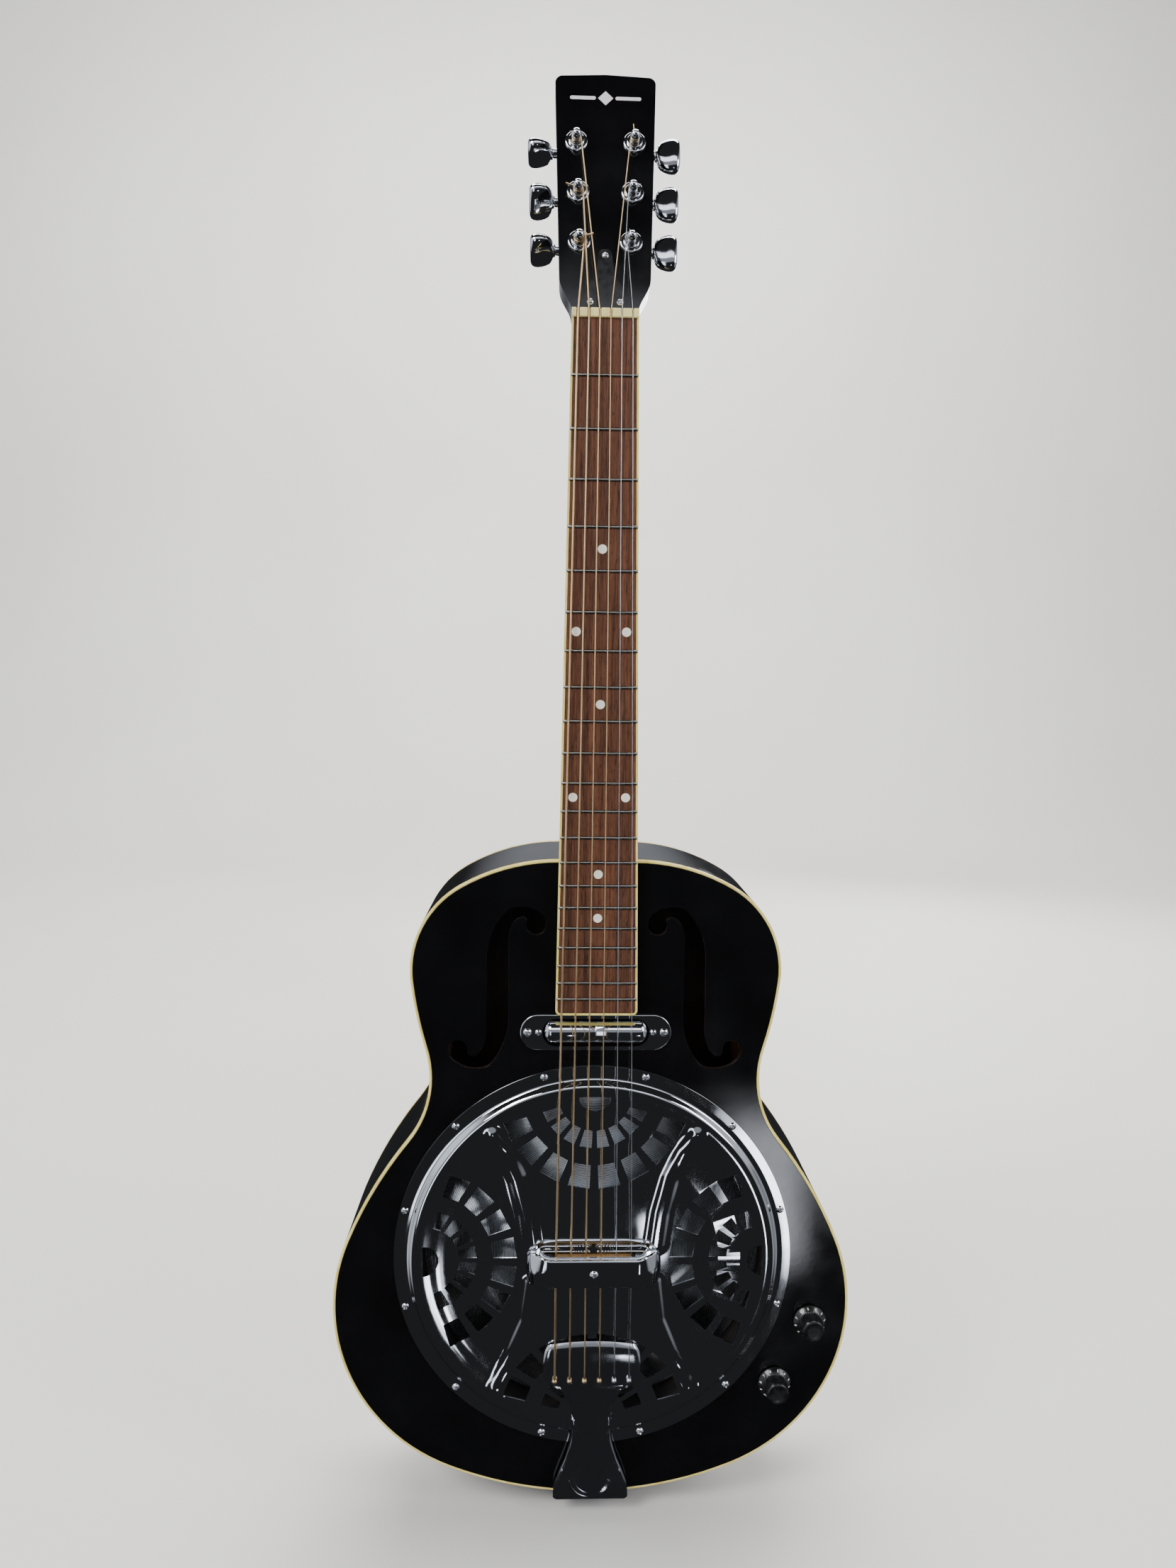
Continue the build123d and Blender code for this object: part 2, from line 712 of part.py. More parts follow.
with BuildPart() as truss_cover_screws:
    with BuildSketch(head_plane):
        with Locations(*truss_screw_places):
            Circle(1.1)
    extrude(amount=1.8)
    with BuildSketch(head_plane.offset(1.8)):
        with Locations(*truss_screw_places):
            Circle(2.3)
    extrude(amount=1.1, taper=22)
truss_cover_screws.part.label = "truss_cover_screws"
export_step(truss_cover_screws.part, "parts/truss_cover_screws.step")

inlay_reach = 150.0
with BuildPart() as headstock_inlay:
    with BuildSketch(head_plane):
        with Locations((0, inlay_reach)):
            RegularPolygon(5.0, 4)
        with Locations((-15, inlay_reach), (15, inlay_reach)):
            SlotOverall(17, 2.4)
    extrude(amount=0.15)
headstock_inlay.part.label = "headstock_inlay"
export_step(headstock_inlay.part, "parts/headstock_inlay.step")

# ---------------------------------------------------------------- tuners
# One tuner is built about its own post: x points across the head away from the button, y up the head
# and z out of the head's face. The treble tuners are its mirror images. The bass buttons stand turned at
# rest, and their posts are turned by a gear's share of that, so that every worm is in mesh.
button_turns = {4: 90.0, 5: 65.0, 6: 75.0}
pitch = 2 * pi * wheel_r / gear_teeth
tooth_tip_r = wheel_r + 0.45
tooth_root_r = wheel_r - 0.65
worm_core_r = 1.85
worm_tip_r = 2.95
worm_turns = 6
shaft_r = 3.0
case_x = (-12.4, 8.0)
case_y = (-6.6, 11.4)
case_z = (-27.6, -head_thick)
case_wall = 1.4
button_x = (-32.2, -16.6)

with BuildPart() as worm_thread:
    helix = Helix(pitch, pitch * (worm_turns - 1), worm_core_r - 0.05)
    with BuildSketch(Plane(origin=helix @ 0, x_dir=(1, 0, 0), z_dir=helix % 0)):
        with BuildLine():
            reach = worm_tip_r - worm_core_r + 0.05
            Polyline((0, -0.36), (reach, -0.2), (reach, 0.2), (0, 0.36), close=True)
        make_face()
    sweep(path=helix, is_frenet=True)

with BuildPart() as tuner_button:
    with BuildSketch(Plane.YZ.offset(button_x[0])):
        RectangleRounded(23, 9.5, 4.0)
    with BuildSketch(Plane.YZ.offset(button_x[0] + 5)):
        RectangleRounded(24.5, 11.5, 4.5)
    with BuildSketch(Plane.YZ.offset(button_x[1] - 1.5)):
        RectangleRounded(20, 8.5, 3.5)
    loft()
    with BuildSketch(Plane.YZ.offset(button_x[1] - 2)):
        Circle(3.7)
    extrude(amount=3.2)
    with BuildSketch(Plane.YZ.offset(button_x[1])):
        Circle(shaft_r)
    extrude(amount=case_x[0] + 7.0 - button_x[1])
    with BuildSketch(Plane.YZ.offset(-6)):
        Circle(worm_core_r)
    extrude(amount=12)
    with BuildSketch(Plane.YZ.offset(5.8)):
        Circle(1.2)
    extrude(amount=1.4)
    half_run = pitch * (worm_turns - 1) / 2
    add(worm_thread.part.moved(Location(Plane(origin=(-half_run, 0, 0), x_dir=(0, -1, 0), z_dir=(1, 0, 0)))))

waist_z = (3.4, 5.2)
ball_z = 7.6
ball_r = 3.2
with BuildPart() as post_turning:
    with BuildSketch(Plane.XZ):
        with BuildLine():
            Polyline((0, case_z[0] + 0.5), (1.3, case_z[0] + 0.5), (1.3, gear_axis - 2), (2.6, gear_axis - 2))
            Polyline((2.6, gear_axis - 2), (2.6, case_z[1]), (3.0, case_z[1] + 0.4), (3.0, waist_z[0] - 0.8))
            Polyline((3.0, waist_z[0] - 0.8), (2.3, waist_z[0]), (2.3, waist_z[1]), (2.8, waist_z[1] + 0.6))
            ball_low = ball_z - (ball_r**2 - 2.8**2) ** 0.5
            Line((2.8, waist_z[1] + 0.6), (2.8, ball_low))
            ThreePointArc((2.8, ball_low), (ball_r, ball_z), (0, ball_z + ball_r))
            Line((0, ball_z + ball_r), (0, case_z[0] + 0.5))
        make_face()
    revolve(axis=Axis.Z)
    with BuildSketch(Plane.YZ.offset(-5)):
        with Locations((0, sum(waist_z) / 2)):
            Circle(0.8)
    extrude(amount=10, mode=Mode.SUBTRACT)

tooth_corners = ((-8, tooth_root_r), (-2.6, tooth_tip_r), (2.6, tooth_tip_r), (8, tooth_root_r))
with BuildPart() as string_post:
    with BuildSketch(Plane.XY.offset(gear_axis - 2)):
        with BuildLine():
            corners = []
            for tooth in range(gear_teeth):
                middle = 90 + 360 * tooth / gear_teeth
                for across, reach in tooth_corners:
                    corners.append(Vector(reach, 0).rotate(Axis.Z, middle + across))
            Polyline(*corners, close=True)
        make_face()
    extrude(amount=4)
    add(post_turning.part)

with BuildPart() as tuner_case:
    with BuildSketch(Plane.XY.offset(case_z[0])):
        with Locations((sum(case_x) / 2, sum(case_y) / 2)):
            RectangleRounded(case_x[1] - case_x[0], case_y[1] - case_y[0], 4.0)
    extrude(amount=case_z[1] - case_z[0])
    fillet(tuner_case.faces().sort_by(Axis.Z)[0].edges(), 2.0)
    with BuildSketch(Plane.XY.offset(case_z[0] + case_wall)):
        Circle(tooth_tip_r + 0.5)
        with Locations((0, gear_centres)):
            Rectangle(2 * half_run + 4.2, 2 * worm_tip_r + 0.8)
    extrude(amount=case_z[1] - case_z[0], mode=Mode.SUBTRACT)
    with BuildSketch(Plane.YZ.offset(case_x[0] - 1)):
        with Locations((gear_centres, gear_axis)):
            Circle(shaft_r + bore_gap)
    extrude(amount=8.2, mode=Mode.SUBTRACT)
    with BuildSketch(Plane.YZ.offset(4)):
        with Locations((gear_centres, gear_axis)):
            Circle(1.2 + bore_gap)
    extrude(amount=3.4, mode=Mode.SUBTRACT)
    with BuildSketch(Plane.XY.offset(case_z[0] + 0.4)):
        Circle(1.3 + bore_gap)
    extrude(amount=3, mode=Mode.SUBTRACT)

with BuildPart() as tuner_bushing:
    with BuildSketch(Plane.XY.offset(-head_thick + 0.1)):
        Circle(4.9)
    extrude(amount=head_thick - 0.1)
    with BuildSketch(Plane.XY):
        Circle(7.4)
    extrude(amount=1.2)
    fillet(tuner_bushing.faces().sort_by(Axis.Z)[-1].edges(), 0.8)
    with BuildSketch(Plane.XY.offset(1.2)):
        Circle(5.2)
    extrude(amount=1.2)
    fillet(tuner_bushing.faces().sort_by(Axis.Z)[-1].edges(), 0.6)
    with BuildSketch(Plane.XY.offset(-head_thick - 1)):
        Circle(3.0 + bore_gap)
    extrude(amount=head_thick + 6, mode=Mode.SUBTRACT)


def tuner_seats():
    """Each tuner's name ending, its side and the place of its post, bass tuners first, from the nut up."""
    seats = []
    for side, first in ((-1, 6), (1, 1)):
        for row, (x, z) in enumerate(zip(post_x, post_z)):
            string_number = first - row if side < 0 else first + row
            reach = (z - head_z) / cos(radians(head_angle))
            seats.append((string_number, side, head_plane.location * Pos(side * x, reach, 0)))
    return seats


def seated(piece, side, seat):
    """A tuner piece at its seat; on the treble side it is mirrored first."""
    handed = piece if side < 0 else mirror(piece, about=Plane.YZ, mode=Mode.PRIVATE)
    return seat * handed


cases = []
bushings = []
for string_number, side, seat in tuner_seats():
    turn = button_turns.get(string_number, 0.0)
    turned_button = Pos(0, gear_centres, gear_axis) * Rot(turn, 0, 0) * tuner_button.part
    button = seated(turned_button, side, seat)
    button.label = f"tuner_button_{string_number}"
    export_step(button, f"parts/tuner_button_{string_number}.step")
    post = seated(Rot(0, 0, turn / gear_teeth) * string_post.part, side, seat)
    post.label = f"string_post_{string_number}"
    export_step(post, f"parts/string_post_{string_number}.step")
    cases.append(seated(tuner_case.part, side, seat))
    bushings.append(seated(tuner_bushing.part, side, seat))

with BuildPart() as tuner_housings:
    add(cases)
tuner_housings.part.label = "tuner_housings"
export_step(tuner_housings.part, "parts/tuner_housings.step")

with BuildPart() as tuner_bushings:
    add(bushings)
tuner_bushings.part.label = "tuner_bushings"
export_step(tuner_bushings.part, "parts/tuner_bushings.step")

# ---------------------------------------------------------------- strings
string_post_gap = 0.35


def string_part(index):
    """One string from its ball in the tailpiece over the crest, the saddle and the nut to its post."""
    radius = string_r[index]
    string_number = 6 - index
    seat = [place for number, side, place in tuner_seats() if number == string_number][0]
    inner = 1 if index < 3 else -1
    post_side = seat * Pos(inner * (2.3 + radius + string_post_gap), -1.2, sum(waist_z) / 2)
    tail_x = string_x(index, saddle_spread)
    stops = [
        at(tail_x, 92.9, tail_slot_z + 0.2),
        at(tail_x, 94.2 + radius + 0.6, -82.2),
        at(tail_x, tail_crest_high + radius + 0.2, tail_crest_z),
        at(tail_x, string_high_saddle, 0),
        at(string_x(index, nut_spread), string_high_nut, string_kink_z),
        post_side.position,
    ]
    with BuildPart() as one:
        for start, end in zip(stops, stops[1:]):
            add(rod(start, end, radius))
        with Locations(stops[0]):
            Sphere(1.9)
    return one.part


with BuildPart() as wound_strings:
    for index in range(wound_count):
        add(string_part(index))
wound_strings.part.label = "wound_strings"
export_step(wound_strings.part, "parts/wound_strings.step")

with BuildPart() as plain_strings:
    for index in range(wound_count, len(string_r)):
        add(string_part(index))
plain_strings.part.label = "plain_strings"
export_step(plain_strings.part, "parts/plain_strings.step")

# ---------------------------------------------------------------- pickup
ring_size = (104.0, 25.0)
tube_half = 35.5
tube_wall = 0.8
screw_outer = 47.0
screw_inner = 39.5
with BuildPart() as pickup_ring:
    with BuildSketch(front(body_depth)):
        with Locations((0, pickup_z)):
            SlotOverall(*ring_size)
            SlotOverall(73.6, 19.4, mode=Mode.SUBTRACT)
            with Locations((-screw_outer, 0), (screw_outer, 0)):
                Circle(1.4, mode=Mode.SUBTRACT)
            with Locations((-screw_inner, 0), (screw_inner, 0)):
                Circle(1.1, mode=Mode.SUBTRACT)
    extrude(amount=1.4)
    fillet(pickup_ring.faces().sort_by(Axis.Y)[0].outer_wire().edges(), 0.6)
pickup_ring.part.label = "pickup_ring"
export_step(pickup_ring.part, "parts/pickup_ring.step")

with BuildPart() as pickup_ring_screws:
    for reach, shank, head_r, deep in ((screw_outer, 1.35, 3.0, 8), (screw_inner, 1.05, 2.3, 20)):
        with BuildSketch(front(body_depth + 1.4 - deep)):
            with Locations((-reach, pickup_z), (reach, pickup_z)):
                Circle(shank)
        extrude(amount=deep)
        with BuildSketch(front(body_depth + 1.4)):
            with Locations((-reach, pickup_z), (reach, pickup_z)):
                Circle(head_r)
        extrude(amount=1.2, taper=22)
pickup_ring_screws.part.label = "pickup_ring_screws"
export_step(pickup_ring_screws.part, "parts/pickup_ring_screws.step")

tube_plane = Plane(origin=at(-tube_half, pickup_axis_high, pickup_z), x_dir=(0, 1, 0), z_dir=(1, 0, 0))
with BuildPart() as tube_inside:
    with BuildSketch(tube_plane.offset(tube_wall)):
        Circle(pickup_tube_r - tube_wall)
    extrude(amount=2 * (tube_half - tube_wall))
    fillet(tube_inside.edges().filter_by(GeomType.CIRCLE), 5.2)

with BuildPart() as pickup_cover:
    with BuildSketch(tube_plane):
        Circle(pickup_tube_r)
    extrude(amount=2 * tube_half)
    fillet(pickup_cover.edges().filter_by(GeomType.CIRCLE), 6.0)
    add(tube_inside.part, mode=Mode.SUBTRACT)
pickup_cover.part.label = "pickup_cover"
export_step(pickup_cover.part, "parts/pickup_cover.step")

with BuildPart() as pickup_coil:
    with BuildSketch(tube_plane.offset(4)):
        RectangleRounded(9, 12, 1.5)
        Rectangle(3.2, 6.4, mode=Mode.SUBTRACT)
    extrude(amount=2 * tube_half - 8)
pickup_coil.part.label = "pickup_coil"
export_step(pickup_coil.part, "parts/pickup_coil.step")

with BuildPart() as pickup_magnet:
    with BuildSketch(tube_plane.offset(5)):
        Rectangle(3.0, 6.2)
    extrude(amount=2 * tube_half - 10)
pickup_magnet.part.label = "pickup_magnet"
export_step(pickup_magnet.part, "parts/pickup_magnet.step")

base_high = pickup_axis_high - pickup_tube_r
with BuildPart() as pickup_base:
    with BuildSketch(front(base_high - 1.6)):
        with Locations((0, pickup_z)):
            SlotOverall(90, 12)
            with Locations((-screw_inner, 0), (screw_inner, 0)):
                Circle(1.5, mode=Mode.SUBTRACT)
    extrude(amount=1.5)
pickup_base.part.label = "pickup_base"
export_step(pickup_base.part, "parts/pickup_base.step")

# ---------------------------------------------------------------- controls
knob_low = body_depth + 0.8
knob_top = body_depth + 14.9
skirt_r = 11.8
skirt_rim_high = 1.1
barrel_low = 4.3
barrel_r = 8.5
with BuildPart() as potentiometers:
    for place in knob_places.values():
        with BuildSketch(front(body_depth - top_thick - 11)):
            with Locations(place):
                Circle(8.4)
        extrude(amount=10)
        with BuildSketch(front(body_depth - top_thick - 2)):
            with Locations(place):
                Circle(3.5)
        extrude(amount=top_thick + 2.5)
        with BuildSketch(front(body_depth - top_thick - 8)):
            with Locations(place):
                Circle(1.5 + bore_gap)
        extrude(amount=20, mode=Mode.SUBTRACT)
potentiometers.part.label = "potentiometers"
export_step(potentiometers.part, "parts/potentiometers.step")

for name, (knob_x, knob_z) in knob_places.items():
    with BuildPart() as knob:
        with BuildSketch(front(knob_low)):
            Circle(skirt_r)
        extrude(amount=skirt_rim_high)
        with BuildSketch(front(knob_low + skirt_rim_high)):
            Circle(skirt_r - 0.2)
        extrude(amount=barrel_low - skirt_rim_high, taper=43)
        with BuildSketch(front(knob_low + barrel_low)):
            Circle(barrel_r)
        extrude(amount=knob_top - knob_low - barrel_low, taper=4)
        with BuildSketch(front(knob_low)):
            Circle(1.5)
        extrude(amount=9, mode=Mode.SUBTRACT)
        with BuildSketch(front(knob_low)):
            Circle(6.0)
        extrude(amount=1.2, mode=Mode.SUBTRACT)
    with BuildPart() as shaft:
        with BuildSketch(front(body_depth - top_thick - 7.5)):
            Circle(1.5)
        extrude(amount=knob_low + 8.8 - (body_depth - top_thick - 7.5))
    for piece, kind in ((knob.part, "knob"), (shaft.part, "shaft")):
        placed = Pos(knob_x, 0, knob_z) * piece
        placed.label = f"{name}_{kind}"
        export_step(placed, f"parts/{name}_{kind}.step")

jack_bore_r = 3.3
jack_bore_deep = 14.0
with BuildPart() as output_jack:
    with BuildSketch(Plane(origin=jack_place, x_dir=(0, 1, 0), z_dir=(1, 0, 0))):
        Circle(9.5)
    extrude(amount=1.4)
    with BuildSketch(Plane(origin=jack_place + Vector(1.4, 0, 0), x_dir=(0, 1, 0), z_dir=(1, 0, 0))):
        RegularPolygon(6.6, 6, major_radius=False)
    extrude(amount=2.2)
    with BuildSketch(Plane(origin=jack_place, x_dir=(0, 1, 0), z_dir=(1, 0, 0))):
        Circle(4.8)
    extrude(amount=4.6)
    with BuildSketch(Plane(origin=jack_place, x_dir=(0, 1, 0), z_dir=(1, 0, 0))):
        Circle(4.8)
    extrude(amount=-10)
    with BuildSketch(Plane(origin=jack_place - Vector(8.2, 0, 0), x_dir=(0, 1, 0), z_dir=(1, 0, 0))):
        Circle(8.0)
    extrude(amount=-14)
    with BuildSketch(Plane(origin=jack_place + Vector(4.6, 0, 0), x_dir=(0, 1, 0), z_dir=(1, 0, 0))):
        Circle(jack_bore_r)
    extrude(amount=-jack_bore_deep, mode=Mode.SUBTRACT)
output_jack.part.label = "output_jack"
export_step(output_jack.part, "parts/output_jack.step")
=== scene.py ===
from math import cos, pi, radians, sin, tan

import bmesh
import bpy
import numpy as np
from mathutils import Matrix, Vector


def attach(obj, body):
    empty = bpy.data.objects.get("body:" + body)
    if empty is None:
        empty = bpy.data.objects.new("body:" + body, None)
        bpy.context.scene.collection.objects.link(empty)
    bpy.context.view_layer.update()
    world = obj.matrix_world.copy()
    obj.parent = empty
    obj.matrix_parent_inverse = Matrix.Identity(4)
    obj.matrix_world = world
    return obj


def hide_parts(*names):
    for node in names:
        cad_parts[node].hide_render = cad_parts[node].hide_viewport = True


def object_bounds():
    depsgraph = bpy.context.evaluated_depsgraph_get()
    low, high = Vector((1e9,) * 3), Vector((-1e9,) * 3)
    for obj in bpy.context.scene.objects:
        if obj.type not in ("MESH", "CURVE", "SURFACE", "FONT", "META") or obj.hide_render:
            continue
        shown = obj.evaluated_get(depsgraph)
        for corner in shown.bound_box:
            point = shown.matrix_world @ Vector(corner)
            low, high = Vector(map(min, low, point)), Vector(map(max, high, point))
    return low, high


# The looks of a resonator guitar. Lengths in this file are in millimetres and are turned to metres where a
# mesh is made. A place on the body is (x, high, z): x to the treble side, high in front of the back's outer
# face, and z up the neck from behind the saddle.

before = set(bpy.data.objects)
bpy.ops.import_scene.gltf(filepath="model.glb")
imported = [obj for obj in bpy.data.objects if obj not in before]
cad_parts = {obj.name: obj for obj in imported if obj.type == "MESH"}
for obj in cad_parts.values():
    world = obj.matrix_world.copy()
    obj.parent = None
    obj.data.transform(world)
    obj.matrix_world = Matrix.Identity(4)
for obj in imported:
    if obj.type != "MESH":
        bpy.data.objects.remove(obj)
cad_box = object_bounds()

MM = 0.001
body_deep = 84.0
board_high = 91.0
scale_length = 635.0
head_z = 640.5
head_tilt = radians(13)
string_r = (0.66, 0.54, 0.42, 0.34, 0.22, 0.17)
post_x = (16.9, 17.8, 19.1)
post_z = (687.6, 721.6, 756.2)
waist_out = 4.3
button_turns = {4: 90.0, 5: 65.0, 6: 75.0}
cover_face = body_deep + 0.9


# ---------------------------------------------------------------- materials
def linear(colour):
    """An sRGB hex colour as linear red, green, blue and alpha."""
    shares = [int(colour[k : k + 2], 16) / 255 for k in (1, 3, 5)]
    return (*[s / 12.92 if s <= 0.04045 else ((s + 0.055) / 1.055) ** 2.4 for s in shares], 1.0)


def add_node(tree, kind, inputs=None, **properties):
    """Adds a node, sets its properties, and sets or links its inputs."""
    node = tree.nodes.new(kind)
    for name, value in properties.items():
        setattr(node, name, value)
    for name, value in (inputs or {}).items():
        if isinstance(value, bpy.types.NodeSocket):
            tree.links.new(value, node.inputs[name])
        else:
            node.inputs[name].default_value = value
    return node


def start_material(name, **constants):
    """A material with a surface shader and the piece's own coordinates; constants are set on the shader."""
    material = bpy.data.materials.new(name)
    material.use_nodes = True
    tree = material.node_tree
    tree.nodes.clear()
    settings = {key.replace("_", " "): value for key, value in constants.items()}
    surface = add_node(tree, "ShaderNodeBsdfPrincipled", settings)
    add_node(tree, "ShaderNodeOutputMaterial", {"Surface": surface.outputs["BSDF"]})
    place = add_node(tree, "ShaderNodeTexCoord").outputs["Object"]
    return material, tree, surface, place


def stretched(tree, place, x, y, z):
    """The coordinates with one pattern unit every x, y and z millimetres."""
    return add_node(
        tree, "ShaderNodeMapping", {"Vector": place, "Scale": (1 / (x * MM), 1 / (y * MM), 1 / (z * MM))}
    ).outputs["Vector"]


def grains(tree, vector, detail=2.0, roughness=0.5, warp=0.0):
    """A noise value from 0 to 1 over the given coordinates."""
    return add_node(
        tree,
        "ShaderNodeTexNoise",
        {"Vector": vector, "Scale": 1.0, "Detail": detail, "Roughness": roughness, "Distortion": warp},
    ).outputs["Fac"]


def span(tree, value, low, high, to_low, to_high):
    """A value from one range to another, held at its ends."""
    return add_node(
        tree,
        "ShaderNodeMapRange",
        {"Value": value, "From Min": low, "From Max": high, "To Min": to_low, "To Max": to_high},
    ).outputs["Result"]


def shades(tree, value, stops):
    """Colours along a value from 0 to 1; stops are (position, hex)."""
    ramp = add_node(tree, "ShaderNodeValToRGB", {"Fac": value})
    while len(ramp.color_ramp.elements) < len(stops):
        ramp.color_ramp.elements.new(1.0)
    for element, (position, colour) in zip(ramp.color_ramp.elements, stops):
        element.position = position
        element.color = linear(colour)
    return ramp.outputs["Color"]


def blend_colours(tree, share, first, second):
    """Two colours mixed by a share."""
    mix = add_node(tree, "ShaderNodeMix", data_type="RGBA")
    for socket, value in ((mix.inputs[0], share), (mix.inputs[6], first), (mix.inputs[7], second)):
        if isinstance(value, bpy.types.NodeSocket):
            tree.links.new(value, socket)
        else:
            socket.default_value = value
    return mix.outputs[2]


def relief(tree, surface, height, depth_mm, share=1.0):
    """Raises the surface by a value, at a real depth."""
    bump = add_node(tree, "ShaderNodeBump", {"Height": height, "Distance": depth_mm * MM, "Strength": share})
    tree.links.new(bump.outputs["Normal"], surface.inputs["Normal"])


def gloss(tree, surface, value):
    """Links a value to the surface's roughness."""
    tree.links.new(value, surface.inputs["Roughness"])


def polyester_lacquer(name, bare=None):
    """Black polyester lacquer, sprayed and buffed: a deep wet black with a faint orange peel and soft haze.

    bare says where bare plywood shows: "edges" below the first millimetre of a plate, "inside" on the faces
    that look at the middle of the body. There the plywood's colour is darkened as painted shade inside the box.
    """
    material, tree, surface, place = start_material(
        name, Coat_Weight=0.5, Coat_Roughness=0.03, IOR=1.52, Specular_IOR_Level=0.5
    )
    haze = grains(tree, stretched(tree, place, 38, 38, 38), detail=4)
    black = shades(tree, haze, ((0.3, "#060607"), (0.7, "#0b0b0d")))
    polish = span(tree, haze, 0.3, 0.7, 0.05, 0.13)
    peel = grains(tree, stretched(tree, place, 3.2, 3.2, 3.2), detail=1)
    relief(tree, surface, peel, 0.02, 0.25)
    if bare:
        split = add_node(tree, "ShaderNodeSeparateXYZ", {"Vector": place})
        if bare == "edges":
            middle = {0: split.outputs["Y"], 1: body_deep / 2 * MM}
            deep = add_node(tree, "ShaderNodeMath", middle, operation="ADD")
            deep = add_node(tree, "ShaderNodeMath", {0: deep.outputs[0]}, operation="ABSOLUTE")
            mask = span(tree, deep.outputs[0], 40.6 * MM, 40.9 * MM, 1, 0)
        else:
            normal = add_node(tree, "ShaderNodeTexCoord").outputs["Normal"]
            middle = {0: place, 1: (0, 42 * MM, -60 * MM)}
            away = add_node(tree, "ShaderNodeVectorMath", middle, operation="ADD")
            facing = add_node(
                tree, "ShaderNodeVectorMath", {0: away.outputs[0], 1: normal}, operation="DOT_PRODUCT"
            )
            mask = span(tree, facing.outputs["Value"], -0.002, 0, 1, 0)
        # The plywood's darkened colour is painted shade of the body's inside.
        black = blend_colours(tree, mask, black, plywood_colour(tree, place))
        duller = {0: mask, 1: 0.5, 2: polish}
        polish = add_node(tree, "ShaderNodeMath", duller, operation="MULTIPLY_ADD").outputs[0]
    tree.links.new(black, surface.inputs["Base Color"])
    gloss(tree, surface, polish)
    return material


def plywood_colour(tree, place):
    """Unfinished plywood with fine straight grain along the body, its colour darkened as painted shade inside
    the box.
    """
    fibres = grains(tree, stretched(tree, place, 0.9, 0.9, 26), detail=3)
    # These browns are darker than bare plywood: painted shade inside the box.
    return shades(tree, fibres, ((0.25, "#241811"), (0.55, "#35251a"), (0.8, "#443226")))


def bare_wood(name, dark, light, fibre=0.8, long=30):
    """Unfinished timber, sawn and sanded: matt, with fine fibres along the length."""
    material, tree, surface, place = start_material(name, Roughness=0.7)
    fibres = grains(tree, stretched(tree, place, fibre, fibre, long), detail=4)
    tree.links.new(shades(tree, fibres, ((0.3, dark), (0.7, light))), surface.inputs["Base Color"])
    relief(tree, surface, fibres, 0.15, 0.4)
    return material


def rosewood_board():
    """Oiled rosewood: warm brown with near-black streaks along the neck and short open pores."""
    material, tree, surface, place = start_material("oiled_rosewood", IOR=1.5, Specular_IOR_Level=0.35)
    streaks = grains(tree, stretched(tree, place, 3.0, 3.0, 190), detail=5, roughness=0.6, warp=0.5)
    fibres = grains(tree, stretched(tree, place, 0.55, 0.55, 17), detail=3, roughness=0.6)
    figure = shades(
        tree,
        streaks,
        ((0.30, "#190d08"), (0.42, "#341b10"), (0.52, "#4e2b1b"), (0.66, "#653c28"), (0.8, "#402216")),
    )
    dulled = shades(tree, fibres, ((0.3, "#2a160d"), (0.62, "#8a5a3e")))
    wood = blend_colours(tree, 0.32, figure, dulled)
    # Pores are 0.1 mm wide; they are drawn 0.3 mm wide, so that they show.
    pores = grains(tree, stretched(tree, place, 0.3, 0.3, 5.5), detail=1)
    open_pores = span(tree, pores, 0.62, 0.72, 0, 1)
    wood = blend_colours(tree, open_pores, wood, linear("#150a06"))
    tree.links.new(wood, surface.inputs["Base Color"])
    gloss(tree, surface, span(tree, fibres, 0.3, 0.7, 0.34, 0.52))
    relief(tree, surface, pores, -0.08, 0.5)
    return material


def celluloid(name, light, dark, polish=0.24):
    """Cast celluloid, scraped and buffed: waxy, slightly see-through, yellowed in soft clouds."""
    material, tree, surface, place = start_material(
        name, IOR=1.5, Subsurface_Weight=0.12, Subsurface_Scale=0.0006, Coat_Weight=0.25, Coat_Roughness=0.08
    )
    clouds = grains(tree, stretched(tree, place, 9, 9, 22), detail=4, roughness=0.6)
    tree.links.new(shades(tree, clouds, ((0.3, dark), (0.7, light))), surface.inputs["Base Color"])
    gloss(tree, surface, span(tree, clouds, 0.3, 0.7, polish, polish + 0.14))
    relief(tree, surface, grains(tree, stretched(tree, place, 1.4, 1.4, 6)), 0.03, 0.3)
    return material


def plated(name, colour, low, high, wave=0.0, wave_mm=18.0):
    """Bright plating on pressed or turned metal: a mirror with faint smears, wiping marks and press waves."""
    material, tree, surface, place = start_material(name, Base_Color=linear(colour), Metallic=1.0)
    smear = grains(tree, stretched(tree, place, 14, 14, 30), detail=5, roughness=0.65)
    gloss(tree, surface, span(tree, smear, 0.35, 0.75, low, high))
    if wave:
        press = grains(tree, stretched(tree, place, wave_mm, wave_mm, wave_mm), detail=1)
        relief(tree, surface, press, wave, 1.0)
    return material


def drawn_metal(name, colour, polish, along=(0.2, 0.2, 6.0), scratch=0.004):
    """Drawn or machined metal: fine marks that run one way."""
    material, tree, surface, place = start_material(name, Metallic=1.0)
    marks = grains(tree, stretched(tree, place, *along), detail=2)
    light = linear(colour)
    dull = (*[c * 0.8 for c in light[:3]], 1.0)
    tree.links.new(blend_colours(tree, marks, dull, light), surface.inputs["Base Color"])
    gloss(tree, surface, span(tree, marks, 0.3, 0.7, polish * 0.8, polish * 1.3))
    relief(tree, surface, marks, scratch, 0.6)
    return material


